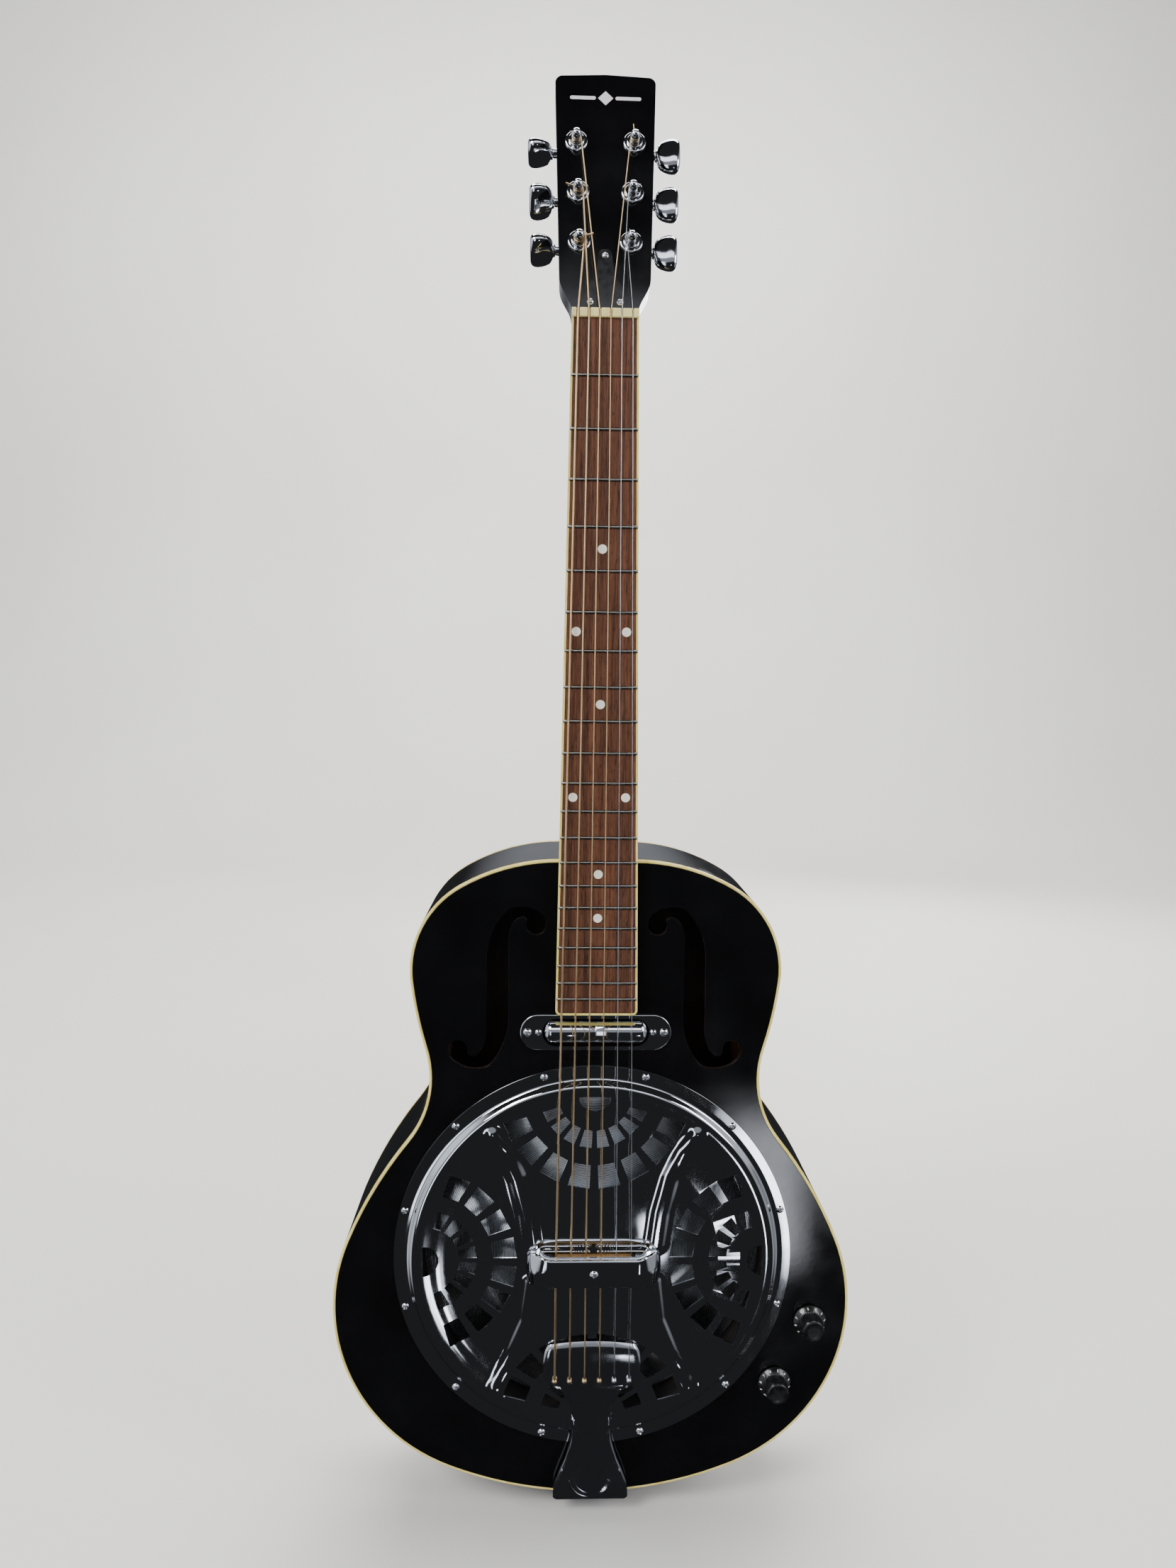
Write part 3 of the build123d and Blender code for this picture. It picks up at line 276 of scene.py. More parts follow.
def bronze_winding():
    """Phosphor bronze wire wound on a core: warm gold, with painted shade in the groove at every turn."""
    material, tree, surface, place = start_material("phosphor_bronze_winding", Metallic=1.0)
    # The turns are 0.3 mm apart; they are drawn 0.6 mm apart, so that they show.
    turn_mm = 0.6
    turns = add_node(
        tree,
        "ShaderNodeTexWave",
        {"Vector": place, "Scale": pi / 10 / (turn_mm * MM), "Distortion": 0.0},
        bands_direction="Z",
    ).outputs["Fac"]
    age = grains(tree, stretched(tree, place, 8, 8, 60), detail=3)
    metal = shades(tree, age, ((0.3, "#dcc096"), (0.7, "#f6e4c2")))
    # The darker colour where the wave is low, in the groove between turns, is painted shade.
    tree.links.new(blend_colours(tree, turns, linear("#b08a58"), metal), surface.inputs["Base Color"])
    gloss(tree, surface, span(tree, age, 0.3, 0.7, 0.34, 0.46))
    relief(tree, surface, turns, 0.08, 0.6)
    return material


def spun_aluminium():
    """Aluminium sheet spun on a lathe: pale, satin, with rings round its axis."""
    material, tree, surface, place = start_material("spun_aluminium", Metallic=1.0, Anisotropic=0.4)
    # Tool marks are 0.3 mm apart; they are drawn 1.1 mm apart, so that they show.
    ring_mm = 1.1
    rings = add_node(
        tree,
        "ShaderNodeTexWave",
        {"Vector": place, "Scale": pi / 10 / (ring_mm * MM), "Distortion": 0.6, "Detail": 2.0},
        wave_type="RINGS",
        rings_direction="Y",
    ).outputs["Fac"]
    cloud = grains(tree, stretched(tree, place, 25, 25, 25), detail=3)
    tree.links.new(shades(tree, cloud, ((0.3, "#c3c7cb"), (0.7, "#e3e5e8"))), surface.inputs["Base Color"])
    gloss(tree, surface, span(tree, rings, 0, 1, 0.22, 0.4))
    relief(tree, surface, rings, 0.03, 0.6)
    return material


def moulded_black(name, low, high):
    """Black phenolic plastic, moulded: glossy, with fine handling haze."""
    material, tree, surface, place = start_material(name, IOR=1.52, Coat_Weight=0.2, Coat_Roughness=0.06)
    haze = grains(tree, stretched(tree, place, 4, 4, 4), detail=4)
    tree.links.new(shades(tree, haze, ((0.3, "#0a0a0b"), (0.7, "#141416"))), surface.inputs["Base Color"])
    gloss(tree, surface, span(tree, haze, 0.3, 0.7, low, high))
    relief(tree, surface, grains(tree, stretched(tree, place, 0.7, 0.7, 0.7)), 0.01, 0.3)
    return material


def pearl_shell():
    """Mother-of-pearl cut from shell: silvery, with soft drifting pink and green."""
    material, tree, surface, place = start_material(
        "mother_of_pearl", IOR=1.55, Coat_Weight=0.6, Coat_Roughness=0.05
    )
    drift = grains(tree, stretched(tree, place, 3.5, 3.5, 2.0), detail=3, warp=1.5)
    tones = ((0.3, "#b9c6c4"), (0.45, "#dfe3e2"), (0.58, "#e4d3d6"), (0.75, "#c3d6cf"))
    tree.links.new(shades(tree, drift, tones), surface.inputs["Base Color"])
    gloss(tree, surface, span(tree, drift, 0.3, 0.7, 0.12, 0.3))
    return material


lacquer_top = polyester_lacquer("polyester_lacquer_plate", bare="edges")
lacquer_sides = polyester_lacquer("polyester_lacquer_sides", bare="inside")
lacquer_neck = polyester_lacquer("polyester_lacquer_neck")
inner_wood = bare_wood("sawn_poplar", "#7d5a3c", "#a9845c")
stained_wood = bare_wood("black_stained_poplar", "#15120f", "#26211c")
maple = bare_wood("sanded_maple", "#c79f6d", "#e6c898", fibre=0.5, long=14)
rosewood = rosewood_board()
binding_cream = celluloid("yellowed_celluloid", "#efe08c", "#d9c45e")
bone = celluloid("polished_bone", "#efe6a0", "#d9c987", polish=0.2)
dot_white = celluloid("white_celluloid", "#f4f1e8", "#e6e0d0", polish=0.2)
chrome = plated("chrome_plate", "#d2d4d8", 0.03, 0.11)
chrome_pressed = plated("chrome_plate_on_pressed_brass", "#cfd2d6", 0.03, 0.1, wave=0.05, wave_mm=22)
chrome_tail = plated("chrome_plate_on_stamped_steel", "#c4c7cc", 0.07, 0.2, wave=0.03, wave_mm=15)
nickel_silver = drawn_metal("nickel_silver_wire", "#a8a59c", 0.24, along=(6.0, 0.2, 0.2))
plain_steel = drawn_metal("tinned_steel_wire", "#dfe2e6", 0.3)
zinc_steel = drawn_metal("zinc_plated_steel", "#b4b3a9", 0.34, along=(0.5, 0.5, 0.5))
copper_wire = drawn_metal("enamelled_copper_wire", "#a3542a", 0.3, along=(6.0, 0.15, 0.15))
bronze = bronze_winding()
aluminium = spun_aluminium()
knob_black = moulded_black("moulded_phenolic", 0.2, 0.34)
cover_black = moulded_black("laminated_vinyl", 0.1, 0.2)
ferrite = moulded_black("sintered_ferrite", 0.6, 0.75)
dial_paint = celluloid("white_dial_paint", "#f5f4ef", "#e9e7de", polish=0.4)
pearl = pearl_shell()

node_finish = {
    "soundboard": lacquer_top,
    "back_plate": lacquer_top,
    "ribs_bass": lacquer_sides,
    "ribs_treble": lacquer_sides,
    "neck": lacquer_neck,
    "top_binding": binding_cream,
    "back_binding": binding_cream,
    "fretboard_binding": binding_cream,
    "linings": inner_wood,
    "neck_block": inner_wood,
    "end_block": inner_wood,
    "soundwell": stained_wood,
    "resonator_cone": aluminium,
    "biscuit": maple,
    "saddle": maple,
    "coverplate": chrome_pressed,
    "coverplate_screws": chrome,
    "palm_rest": chrome_pressed,
    "palm_rest_screw": chrome,
    "tailpiece": chrome_tail,
    "strap_button": chrome,
    "fretboard": rosewood,
    "position_dots": dot_white,
    "frets": nickel_silver,
    "nut": bone,
    "truss_rod": zinc_steel,
    "truss_rod_nut": zinc_steel,
    "truss_rod_cover": cover_black,
    "truss_cover_screws": chrome,
    "headstock_inlay": pearl,
    "tuner_housings": chrome,
    "tuner_bushings": chrome,
    "wound_strings": bronze,
    "plain_strings": plain_steel,
    "pickup_ring": chrome,
    "pickup_ring_screws": chrome,
    "pickup_cover": chrome,
    "pickup_coil": copper_wire,
    "pickup_magnet": ferrite,
    "pickup_base": zinc_steel,
    "potentiometers": zinc_steel,
    "volume_knob": knob_black,
    "tone_knob": knob_black,
    "volume_shaft": zinc_steel,
    "tone_shaft": zinc_steel,
    "output_jack": chrome,
}
node_finish.update({f"tuner_button_{k}": chrome for k in range(1, 7)})
node_finish.update({f"string_post_{k}": chrome for k in range(1, 7)})
for node_name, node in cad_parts.items():
    node.data.materials.clear()
    node.data.materials.append(node_finish[node_name])


# ---------------------------------------------------------------- making meshes
def at(x, high, z):
    """A place on the body, in metres."""
    return Vector((x, -high, z)) * MM


def head_at(x, reach, out):
    """A place on the headstock, in metres: reach up its face from the nut and out of the face."""
    across = -body_deep + reach * sin(head_tilt) - out * cos(head_tilt)
    along = head_z + reach * cos(head_tilt) + out * sin(head_tilt)
    return Vector((x, across, along)) * MM


def mesh_piece(name, points, faces, material, smooth=35):
    """A mesh from points in metres and faces, its doubles merged and its faces turned outwards."""
    mesh = bpy.data.meshes.new(name)
    mesh.from_pydata([tuple(p) for p in points], [], faces)
    return finish_mesh(name, mesh, material, smooth)


def finish_mesh(name, mesh, material, smooth=35):
    """Merges doubles, turns faces outwards, shades by angle, and makes the object."""
    work = bmesh.new()
    work.from_mesh(mesh)
    bmesh.ops.remove_doubles(work, verts=work.verts, dist=1e-6)
    bmesh.ops.dissolve_degenerate(work, edges=work.edges, dist=1e-7)
    bmesh.ops.recalc_face_normals(work, faces=work.faces)
    work.to_mesh(mesh)
    work.free()
    mesh.polygons.foreach_set("use_smooth", [True] * len(mesh.polygons))
    mesh.set_sharp_from_angle(angle=radians(smooth))
    mesh.materials.clear()
    mesh.materials.append(material)
    piece = bpy.data.objects.new(name, mesh)
    bpy.context.scene.collection.objects.link(piece)
    return piece


def apply_modifiers(piece):
    """Turns a piece with modifiers into a plain mesh."""
    bpy.context.view_layer.update()
    evaluated = piece.evaluated_get(bpy.context.evaluated_depsgraph_get())
    plain = bpy.data.meshes.new_from_object(evaluated)
    piece.modifiers.clear()
    piece.data = plain
    return piece


def seat(piece, body, slot, *replaced):
    """Says what a finished piece rides on and stands for; slot, which would name its finish, is not used."""
    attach(piece, body)
    if replaced:
        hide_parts(*replaced)
    return piece


def grid_faces(rows, columns, close_columns=False, start=0):
    """Four-sided faces over rows of points."""
    across = columns if close_columns else columns - 1
    return [
        (
            start + r * columns + c,
            start + r * columns + (c + 1) % columns,
            start + (r + 1) * columns + (c + 1) % columns,
            start + (r + 1) * columns + c,
        )
        for r in range(rows - 1)
        for c in range(across)
    ]


def lathe(profile, steps, centre, radius_at=None):
    """Points and faces of a shape turned about a line through centre that leaves the soundboard.

    profile is (radius, high) from the middle on one side to the middle on the other; radius_at may change
    a radius by its place in the profile and its angle.
    """
    points = []
    for index, (radius, high) in enumerate(profile):
        for step in range(steps):
            angle = 2 * pi * step / steps
            r = radius_at(index, radius, angle) if radius_at else radius
            points.append(at(centre[0] + r * cos(angle), high, centre[1] + r * sin(angle)))
    return points, grid_faces(len(profile), steps, close_columns=True)


def rounded(corners, cut, steps=4):
    """A line through the corners, each inner one rounded by a quadratic curve that starts `cut` away."""
    corners = [Vector(c) for c in corners]
    line = [corners[0]]
    for before, corner, after in zip(corners, corners[1:], corners[2:]):
        reach_in = min(cut, (before - corner).length / 2)
        reach_out = min(cut, (after - corner).length / 2)
        start = corner + (before - corner).normalized() * reach_in
        end = corner + (after - corner).normalized() * reach_out
        for step in range(steps + 1):
            t = step / steps
            line.append(start * (1 - t) ** 2 + corner * 2 * t * (1 - t) + end * t**2)
    return [*line, corners[-1]]


def curve_through(stops, x):
    """A smooth line through (place, value) stops, with no overshoot where neighbours are level."""
    places, values = np.array(stops, float).T
    steps = np.diff(values) / np.diff(places)
    slopes = np.zeros(len(places))
    same_way = steps[:-1] * steps[1:] > 0
    before, after = steps[:-1][same_way], steps[1:][same_way]
    slopes[1:-1][same_way] = 2 * before * after / (before + after)
    x = np.clip(np.asarray(x, float), places[0], places[-1])
    k = np.clip(np.searchsorted(places, x, side="right") - 1, 0, len(places) - 2)
    wide = places[k + 1] - places[k]
    t = (x - places[k]) / wide
    return (
        (1 + 2 * t) * (1 - t) ** 2 * values[k]
        + t * (1 - t) ** 2 * wide * slopes[k]
        + t**2 * (3 - 2 * t) * values[k + 1]
        + t**2 * (t - 1) * wide * slopes[k + 1]
    )


def distance_to_line(px, pz, line):
    """Distance of each point from a bent line, and the share of the line's length where it is nearest."""
    runs = [np.hypot(b[0] - a[0], b[1] - a[1]) for a, b in zip(line, line[1:])]
    best = np.full(np.shape(px), 1e9)
    share = np.zeros(np.shape(px))
    gone = 0.0
    for (ax, az), (bx, bz), run in zip(line, line[1:], runs):
        t = np.clip(((px - ax) * (bx - ax) + (pz - az) * (bz - az)) / run**2, 0, 1)
        far = np.hypot(px - ax - t * (bx - ax), pz - az - t * (bz - az))
        nearer = far < best
        best = np.where(nearer, far, best)
        share = np.where(nearer, (gone + t * run) / sum(runs), share)
        gone += run
    return best, share


def fall(distance, half, soft):
    """1 inside `half`, 0 beyond half + soft, and a smooth slope between."""
    t = np.clip((half + soft - distance) / soft, 0, 1)
    return t * t * (3 - 2 * t)


def cut_with(piece, prisms, low, high):
    """Cuts straight holes through a piece; prisms are flat outlines of (x, z) between two heights."""
    points, faces = [], []
    for outline in prisms:
        first, count = len(points), len(outline)
        points += [at(x, low, z) for x, z in outline] + [at(x, high, z) for x, z in outline]
        faces.append(tuple(range(first, first + count)))
        faces.append(tuple(range(first + 2 * count - 1, first + count - 1, -1)))
        for k in range(count):
            after = (k + 1) % count
            faces.append((first + k, first + after, first + count + after, first + count + k))
    cutter = mesh_piece(piece.name + "_cutter", points, faces, None)
    hole = piece.modifiers.new("holes", "BOOLEAN")
    hole.operation = "DIFFERENCE"
    hole.solver = "MANIFOLD"
    hole.object = cutter
    apply_modifiers(piece)
    bpy.data.objects.remove(cutter)
    piece.data.polygons.foreach_set("use_smooth", [True] * len(piece.data.polygons))
    piece.data.set_sharp_from_angle(angle=radians(35))
    return piece


def ring_of(x, z, radius, count=20, start=0.0, turn=2 * pi):
    """Points of a circle, or of part of one."""
    whole = turn >= 2 * pi
    steps = count if whole else count - 1
    angles = [start + turn * k / steps for k in range(count)]
    return [(x + radius * cos(a), z + radius * sin(a)) for a in angles]


def stadium(length, width, x=0.0, z=0.0, count=12):
    """Points of a slot shape that is long along x."""
    half, r = length / 2 - width / 2, width / 2
    right = ring_of(x + half, z, r, count, -pi / 2, pi)
    left = ring_of(x - half, z, r, count, pi / 2, pi)
    return right + left


def softened(node_name, width, body, slot, steps=2, angle=40):
    """Stands for a CAD node with the same shape and lightly rounded edges."""
    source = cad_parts[node_name]
    mesh = source.data.copy()
    work = bmesh.new()
    work.from_mesh(mesh)
    bmesh.ops.remove_doubles(work, verts=work.verts, dist=2e-6)
    bmesh.ops.dissolve_limit(work, angle_limit=radians(0.3), verts=work.verts, edges=work.edges)
    work.to_mesh(mesh)
    work.free()
    if "custom_normal" in mesh.attributes:
        mesh.attributes.remove(mesh.attributes["custom_normal"])
    mesh.polygons.foreach_set("use_smooth", [True] * len(mesh.polygons))
    piece = bpy.data.objects.new(node_name + "_finished", mesh)
    bpy.context.scene.collection.objects.link(piece)
    edge = piece.modifiers.new("edges", "BEVEL")
    edge.width = width * MM
    edge.segments = steps
    edge.limit_method = "ANGLE"
    edge.angle_limit = radians(angle)
    edge.use_clamp_overlap = True
    flat = piece.modifiers.new("normals", "WEIGHTED_NORMAL")
    flat.keep_sharp = True
    apply_modifiers(piece)
    return seat(piece, body, slot, node_name)


# ---------------------------------------------------------------- repeated pieces
def node_tree(name, inputs):
    """A geometry node tree with named inputs, given as (name, socket kind, first value)."""
    tree = bpy.data.node_groups.new(name, "GeometryNodeTree")
    tree.interface.new_socket("Geometry", in_out="INPUT", socket_type="NodeSocketGeometry")
    for label, kind, value in inputs:
        socket = tree.interface.new_socket(label, in_out="INPUT", socket_type=kind)
        if value is not None:
            socket.default_value = value
    tree.interface.new_socket("Geometry", in_out="OUTPUT", socket_type="NodeSocketGeometry")
    return tree


def run_tree(tree, name, points, settings):
    """Runs a tree on loose points and returns a plain mesh piece."""
    mesh = bpy.data.meshes.new(name)
    mesh.from_pydata([tuple(p) for p in points], [], [])
    piece = bpy.data.objects.new(name, mesh)
    bpy.context.scene.collection.objects.link(piece)
    modifier = piece.modifiers.new("nodes", "NODES")
    modifier.node_group = tree
    for item in tree.interface.items_tree:
        if item.item_type == "SOCKET" and item.in_out == "INPUT" and item.name in settings:
            modifier[item.identifier] = settings[item.name]
    return apply_modifiers(piece)


def scatter_tree():
    """Puts a prototype on each point, turned to face a direction, each with its own turn about that line."""
    tree = node_tree(
        "heads_on_points",
        [
            ("Prototype", "NodeSocketObject", None),
            ("Facing", "NodeSocketVector", (0.0, -1.0, 0.0)),
            ("Size", "NodeSocketFloat", 1.0),
            ("Seed", "NodeSocketInt", 1),
            ("Finish", "NodeSocketMaterial", None),
        ],
    )
    given = add_node(tree, "NodeGroupInput").outputs
    shape = add_node(tree, "GeometryNodeObjectInfo", {"Object": given["Prototype"]}).outputs["Geometry"]
    turn = add_node(
        tree,
        "FunctionNodeRandomValue",
        {2: 0.0, 3: pi, "Seed": given["Seed"]},
        data_type="FLOAT",
    ).outputs[1]
    facing = add_node(
        tree, "FunctionNodeAlignRotationToVector", {"Vector": given["Facing"]}, axis="Z"
    ).outputs[0]
    about = add_node(
        tree, "FunctionNodeAxisAngleToRotation", {"Axis": (0.0, 0.0, 1.0), "Angle": turn}
    ).outputs[0]
    both = add_node(
        tree, "FunctionNodeRotateRotation", {"Rotation": facing, "Rotate By": about}, rotation_space="LOCAL"
    ).outputs[0]
    placed = add_node(
        tree,
        "GeometryNodeInstanceOnPoints",
        {"Points": given["Geometry"], "Instance": shape, "Rotation": both, "Scale": given["Size"]},
    ).outputs[0]
    real = add_node(tree, "GeometryNodeRealizeInstances", {"Geometry": placed}).outputs[0]
    coated = add_node(
        tree, "GeometryNodeSetMaterial", {"Geometry": real, "Material": given["Finish"]}
    ).outputs[0]
    add_node(tree, "NodeGroupOutput", {"Geometry": coated})
    return tree


def fret_tree():
    """Frets up the neck, each a twelfth root of two nearer to the saddle and as long as the board is wide."""
    tree = node_tree(
        "frets_by_rule",
        [
            ("Crown", "NodeSocketObject", None),
            ("Scale length", "NodeSocketFloat", scale_length * MM),
            ("Count", "NodeSocketInt", 21),
            ("Face", "NodeSocketFloat", board_high * MM),
            ("Half at nut", "NodeSocketFloat", 21.5 * MM),
            ("Half per length", "NodeSocketFloat", 0.0),
            ("Finish", "NodeSocketMaterial", None),
        ],
    )
    given = add_node(tree, "NodeGroupInput").outputs

    def reckon(kind, first, second):
        return add_node(tree, "ShaderNodeMath", {0: first, 1: second}, operation=kind).outputs[0]

    line = add_node(tree, "GeometryNodeMeshLine", {"Count": given["Count"]}, mode="OFFSET").outputs[0]
    number = reckon("ADD", add_node(tree, "GeometryNodeInputIndex").outputs[0], 1.0)
    share = reckon("POWER", 2.0, reckon("DIVIDE", number, -12.0))
    along = reckon("MULTIPLY", given["Scale length"], share)
    below_nut = reckon("SUBTRACT", given["Scale length"], along)
    half = reckon("ADD", given["Half at nut"], reckon("MULTIPLY", below_nut, given["Half per length"]))
    face = reckon("MULTIPLY", given["Face"], -1.0)
    spot = add_node(tree, "ShaderNodeCombineXYZ", {"X": 0.0, "Y": face, "Z": along}).outputs[0]
    spread = add_node(tree, "GeometryNodeSetPosition", {"Geometry": line, "Position": spot}).outputs[0]
    size = add_node(tree, "ShaderNodeCombineXYZ", {"X": half, "Y": 1.0, "Z": 1.0}).outputs[0]
    # The size has to be worked out on the points, so it is kept on them before the crowns are placed.
    kept = add_node(
        tree,
        "GeometryNodeStoreNamedAttribute",
        {"Geometry": spread, "Name": "crown_size", "Value": size},
        data_type="FLOAT_VECTOR",
    ).outputs[0]
    read = add_node(tree, "GeometryNodeInputNamedAttribute", {"Name": "crown_size"}, data_type="FLOAT_VECTOR")
    crown = add_node(tree, "GeometryNodeObjectInfo", {"Object": given["Crown"]}).outputs["Geometry"]
    placed = add_node(
        tree,
        "GeometryNodeInstanceOnPoints",
        {"Points": kept, "Instance": crown, "Scale": read.outputs["Attribute"]},
    ).outputs[0]
    real = add_node(tree, "GeometryNodeRealizeInstances", {"Geometry": placed}).outputs[0]
    coated = add_node(
        tree, "GeometryNodeSetMaterial", {"Geometry": real, "Material": given["Finish"]}
    ).outputs[0]
    add_node(tree, "NodeGroupOutput", {"Geometry": coated})
    return tree


def screw_head():
    """A cross-slot screw head, 1 mm in radius, that looks along its own +Z from a closed underside."""
    reaches = (0.0, 0.08, 0.16, 0.24, 0.32, 0.42, 0.52, 0.62, 0.72, 0.82, 0.9, 0.96, 1.0)
    steps = 64
    points = []
    for reach in reaches:
        for step in range(steps):
            angle = 2 * pi * step / steps
            x, y = reach * cos(angle), reach * sin(angle)
            high = 0.5 * (1 - reach**2.6)
            narrow, long = min(abs(x), abs(y)), max(abs(x), abs(y))
            slot = float(fall(narrow, 0.08, 0.07)) * float(fall(long, 0.46, 0.12))
            points.append(Vector((x, y, high - 0.34 * slot)) * MM)
    rim = len(points)
    points += [Vector((cos(2 * pi * k / steps), sin(2 * pi * k / steps), -0.05)) * MM for k in range(steps)]
    points.append(Vector((0, 0, -0.05)) * MM)
    faces = grid_faces(len(reaches) + 1, steps, close_columns=True)
    faces += [(rim + (k + 1) % steps, rim + k, rim + steps) for k in range(steps)]
    return mesh_piece("screw_head", points, faces, chrome, smooth=50)


heads_on_points = scatter_tree()
head_shape = screw_head()


def screws(name, places, facing, radius, seed, *replaced):
    """Screw heads at places, which all look one way."""
    settings = {
        "Prototype": head_shape,
        "Facing": facing,
        "Size": radius,
        "Seed": seed,
        "Finish": chrome,
    }
    return seat(run_tree(heads_on_points, name, places, settings), "guitar", "chrome", *replaced)


forwards = (0.0, -1.0, 0.0)
head_out = (0.0, -cos(head_tilt), sin(head_tilt))
cover_screw_angles = [radians(15 + 30 * k) for k in range(12)]
cover_screw_places = [at(136 * cos(a), cover_face + 0.05, 136 * sin(a)) for a in cover_screw_angles]
screws("coverplate_screw_heads", cover_screw_places, forwards, 2.7, 3, "coverplate_screws")
screws("palm_rest_screw_head", [at(0, 107.0, 0)], forwards, 3.0, 5, "palm_rest_screw")
pickup_z = 163.5
pickup_outer = [at(x, 85.45, pickup_z) for x in (-47, 47)]
pickup_inner = [at(x, 85.45, pickup_z) for x in (-39.5, 39.5)]
screws("pickup_outer_screw_heads", pickup_outer, forwards, 3.0, 8, "pickup_ring_screws")
screws("pickup_inner_screw_heads", pickup_inner, forwards, 2.3, 9)
truss_screw_places = [head_at(x, reach, 1.85) for x, reach in ((-9.6, 6), (9.6, 6), (0, 37.8))]
screws("truss_cover_screw_heads", truss_screw_places, head_out, 2.3, 12, "truss_cover_screws")


def fret_crown():
    """One fret of half-length 1 that lies along x, with a round crown and filed ends."""
    points = []
    stations = ((-0.99, 0.15), (-0.975, 0.75), (-0.95, 1.0), (0.95, 1.0), (0.975, 0.75), (0.99, 0.15))
    steps = 10
    for x, full in stations:
        for step in range(steps + 1):
            angle = pi * step / steps
            wide = 1.1 * MM * (0.6 + 0.4 * full)
            points.append(Vector((x, -1.0 * MM * full * sin(angle), wide * cos(angle))))
    faces = grid_faces(len(stations), steps + 1)
    faces += [tuple(range(steps + 1)), tuple(range(len(points) - 1, len(points) - steps - 2, -1))]
    faces += [
        (r * (steps + 1), (r + 1) * (steps + 1), (r + 2) * (steps + 1) - 1, (r + 1) * (steps + 1) - 1)
        for r in range(len(stations) - 1)
    ]
    return mesh_piece("fret_crown", points, faces, nickel_silver, smooth=50)


crown_shape = fret_crown()
fret_settings = {
    "Crown": crown_shape,
    "Scale length": scale_length * MM,
    "Count": 21,
    "Face": board_high * MM,
    "Half at nut": 21.3 * MM,
    "Half per length": (28.0 - 21.5) / (640.5 - 177.5),
    "Finish": nickel_silver,
}
seat(run_tree(fret_tree(), "fret_wires", [(0, 0, 0)], fret_settings), "guitar", "nickel_wire", "frets")
bpy.data.objects.remove(crown_shape)
bpy.data.objects.remove(head_shape)

# ---------------------------------------------------------------- coverplate
dome_stops = (
    (0, 6.4), (30, 6.4), (36, 6.2), (50, 5.4), (70, 3.8), (92, 1.6), (99, 1.5), (108, 2.4), (116, 3.9),
    (122, 4.6), (126, 4.3), (128.4, 2.4), (129.6, 0.7), (131.2, 0.0), (139.7, 0.0),
)
rib_lines = (
    ((70.5, 92.0), (61.5, 78.0), (53.0, 60.0), (46.5, 36.0), (43.5, 13.0)),
    ((43.0, -14.0), (45.0, -44.0), (54.0, -67.0), (67.0, -93.0)),
)
fan_offset = 119.0
fan_angles = (9.5, 28.5, 47.5, 66.5)


def cover_high(x, z):
    """Height of the coverplate's face over the soundboard at x and z."""
    away = np.hypot(x, z)
    high = curve_through(dome_stops, away)
    for line in rib_lines:
        for side in (1, -1):
            far, share = distance_to_line(x * side, z, line)
            half = 0.3 + 1.7 * fall(np.abs(share - 0.72), 0.3, 0.5)
            high = high + 2.6 * fall(far, half, 6.8)
    past = np.maximum(np.abs(x) - 32.5, 0)
    collar = np.hypot(past, z)
    high = high + (9.6 - high) * fall(collar, 10.0, 2.6)
    return high


def fan_holes():
    """Outlines of the four fans of holes, the bridge slot and the screw holes."""
    outlines = [stadium(81, 17)]
    outlines += [ring_of(136 * cos(a), 136 * sin(a), 1.5, 10) for a in cover_screw_angles]
    lean = tan(radians(7))
    for quarter in range(4):
        turn = pi / 2 * quarter
        c, s = cos(turn), sin(turn)
        shapes = [[(-r * cos(a), r * sin(a)) for r, a in [(11, -pi / 2 + pi * k / 16) for k in range(17)]]]
        for wide, deep, reach in ((8.6, 12.4, 31.2), (15.4, 16.4, 57.2)):
            outer, inner = wide / 2, wide / 2 - deep * lean
            for angle in [radians(180 + side * a) for a in fan_angles for side in (-1, 1)]:
                corners = ((-deep / 2, -inner), (deep / 2, -outer), (deep / 2, outer), (-deep / 2, inner))
                shapes.append(
                    [
                        ((reach + u) * cos(angle) - v * sin(angle), (reach + u) * sin(angle) + v * cos(angle))
                        for u, v in corners
                    ]
                )
        for shape in shapes:
            outlines.append([((fan_offset + u) * c - v * s, (fan_offset + u) * s + v * c) for u, v in shape])
    return outlines


def coverplate_sheet():
    """The pressed coverplate: a dished sheet with four ribs and a raised collar, pierced by fans of holes."""
    steps = 432
    reaches = [*np.arange(0, 50, 1.25), *np.arange(50, 110, 1.5), *np.arange(110, 131.6, 0.8)]
    reaches += [134, 137, 139.0, 139.5, 139.7]
    angles = np.arange(steps) * 2 * pi / steps
    r, a = np.meshgrid(reaches, angles, indexing="ij")
    x, z = r * np.cos(a), r * np.sin(a)
    high = body_deep + 0.9 + cover_high(x, z)
    high[-1] -= 0.35
    under_reaches = [139.7, 130.6, 127.5, 123, 110, 80, 40, 1.0, 0]
    ur, ua = np.meshgrid(under_reaches, angles, indexing="ij")
    ux, uz = ur * np.cos(ua), ur * np.sin(ua)
    under = body_deep + 0.02 + np.minimum(cover_high(ux, uz), curve_through(dome_stops, ur))
    points = [at(*p) for p in zip(x.ravel(), high.ravel(), z.ravel())]
    points += [at(*p) for p in zip(ux.ravel(), under.ravel(), uz.ravel())]
    faces = grid_faces(len(reaches) + len(under_reaches), steps, close_columns=True)
    sheet = mesh_piece("coverplate_pressing", points, faces, chrome_pressed, smooth=50)
    return cut_with(sheet, fan_holes(), body_deep - 4, body_deep + 24)


seat(coverplate_sheet(), "guitar", "chrome", "coverplate")


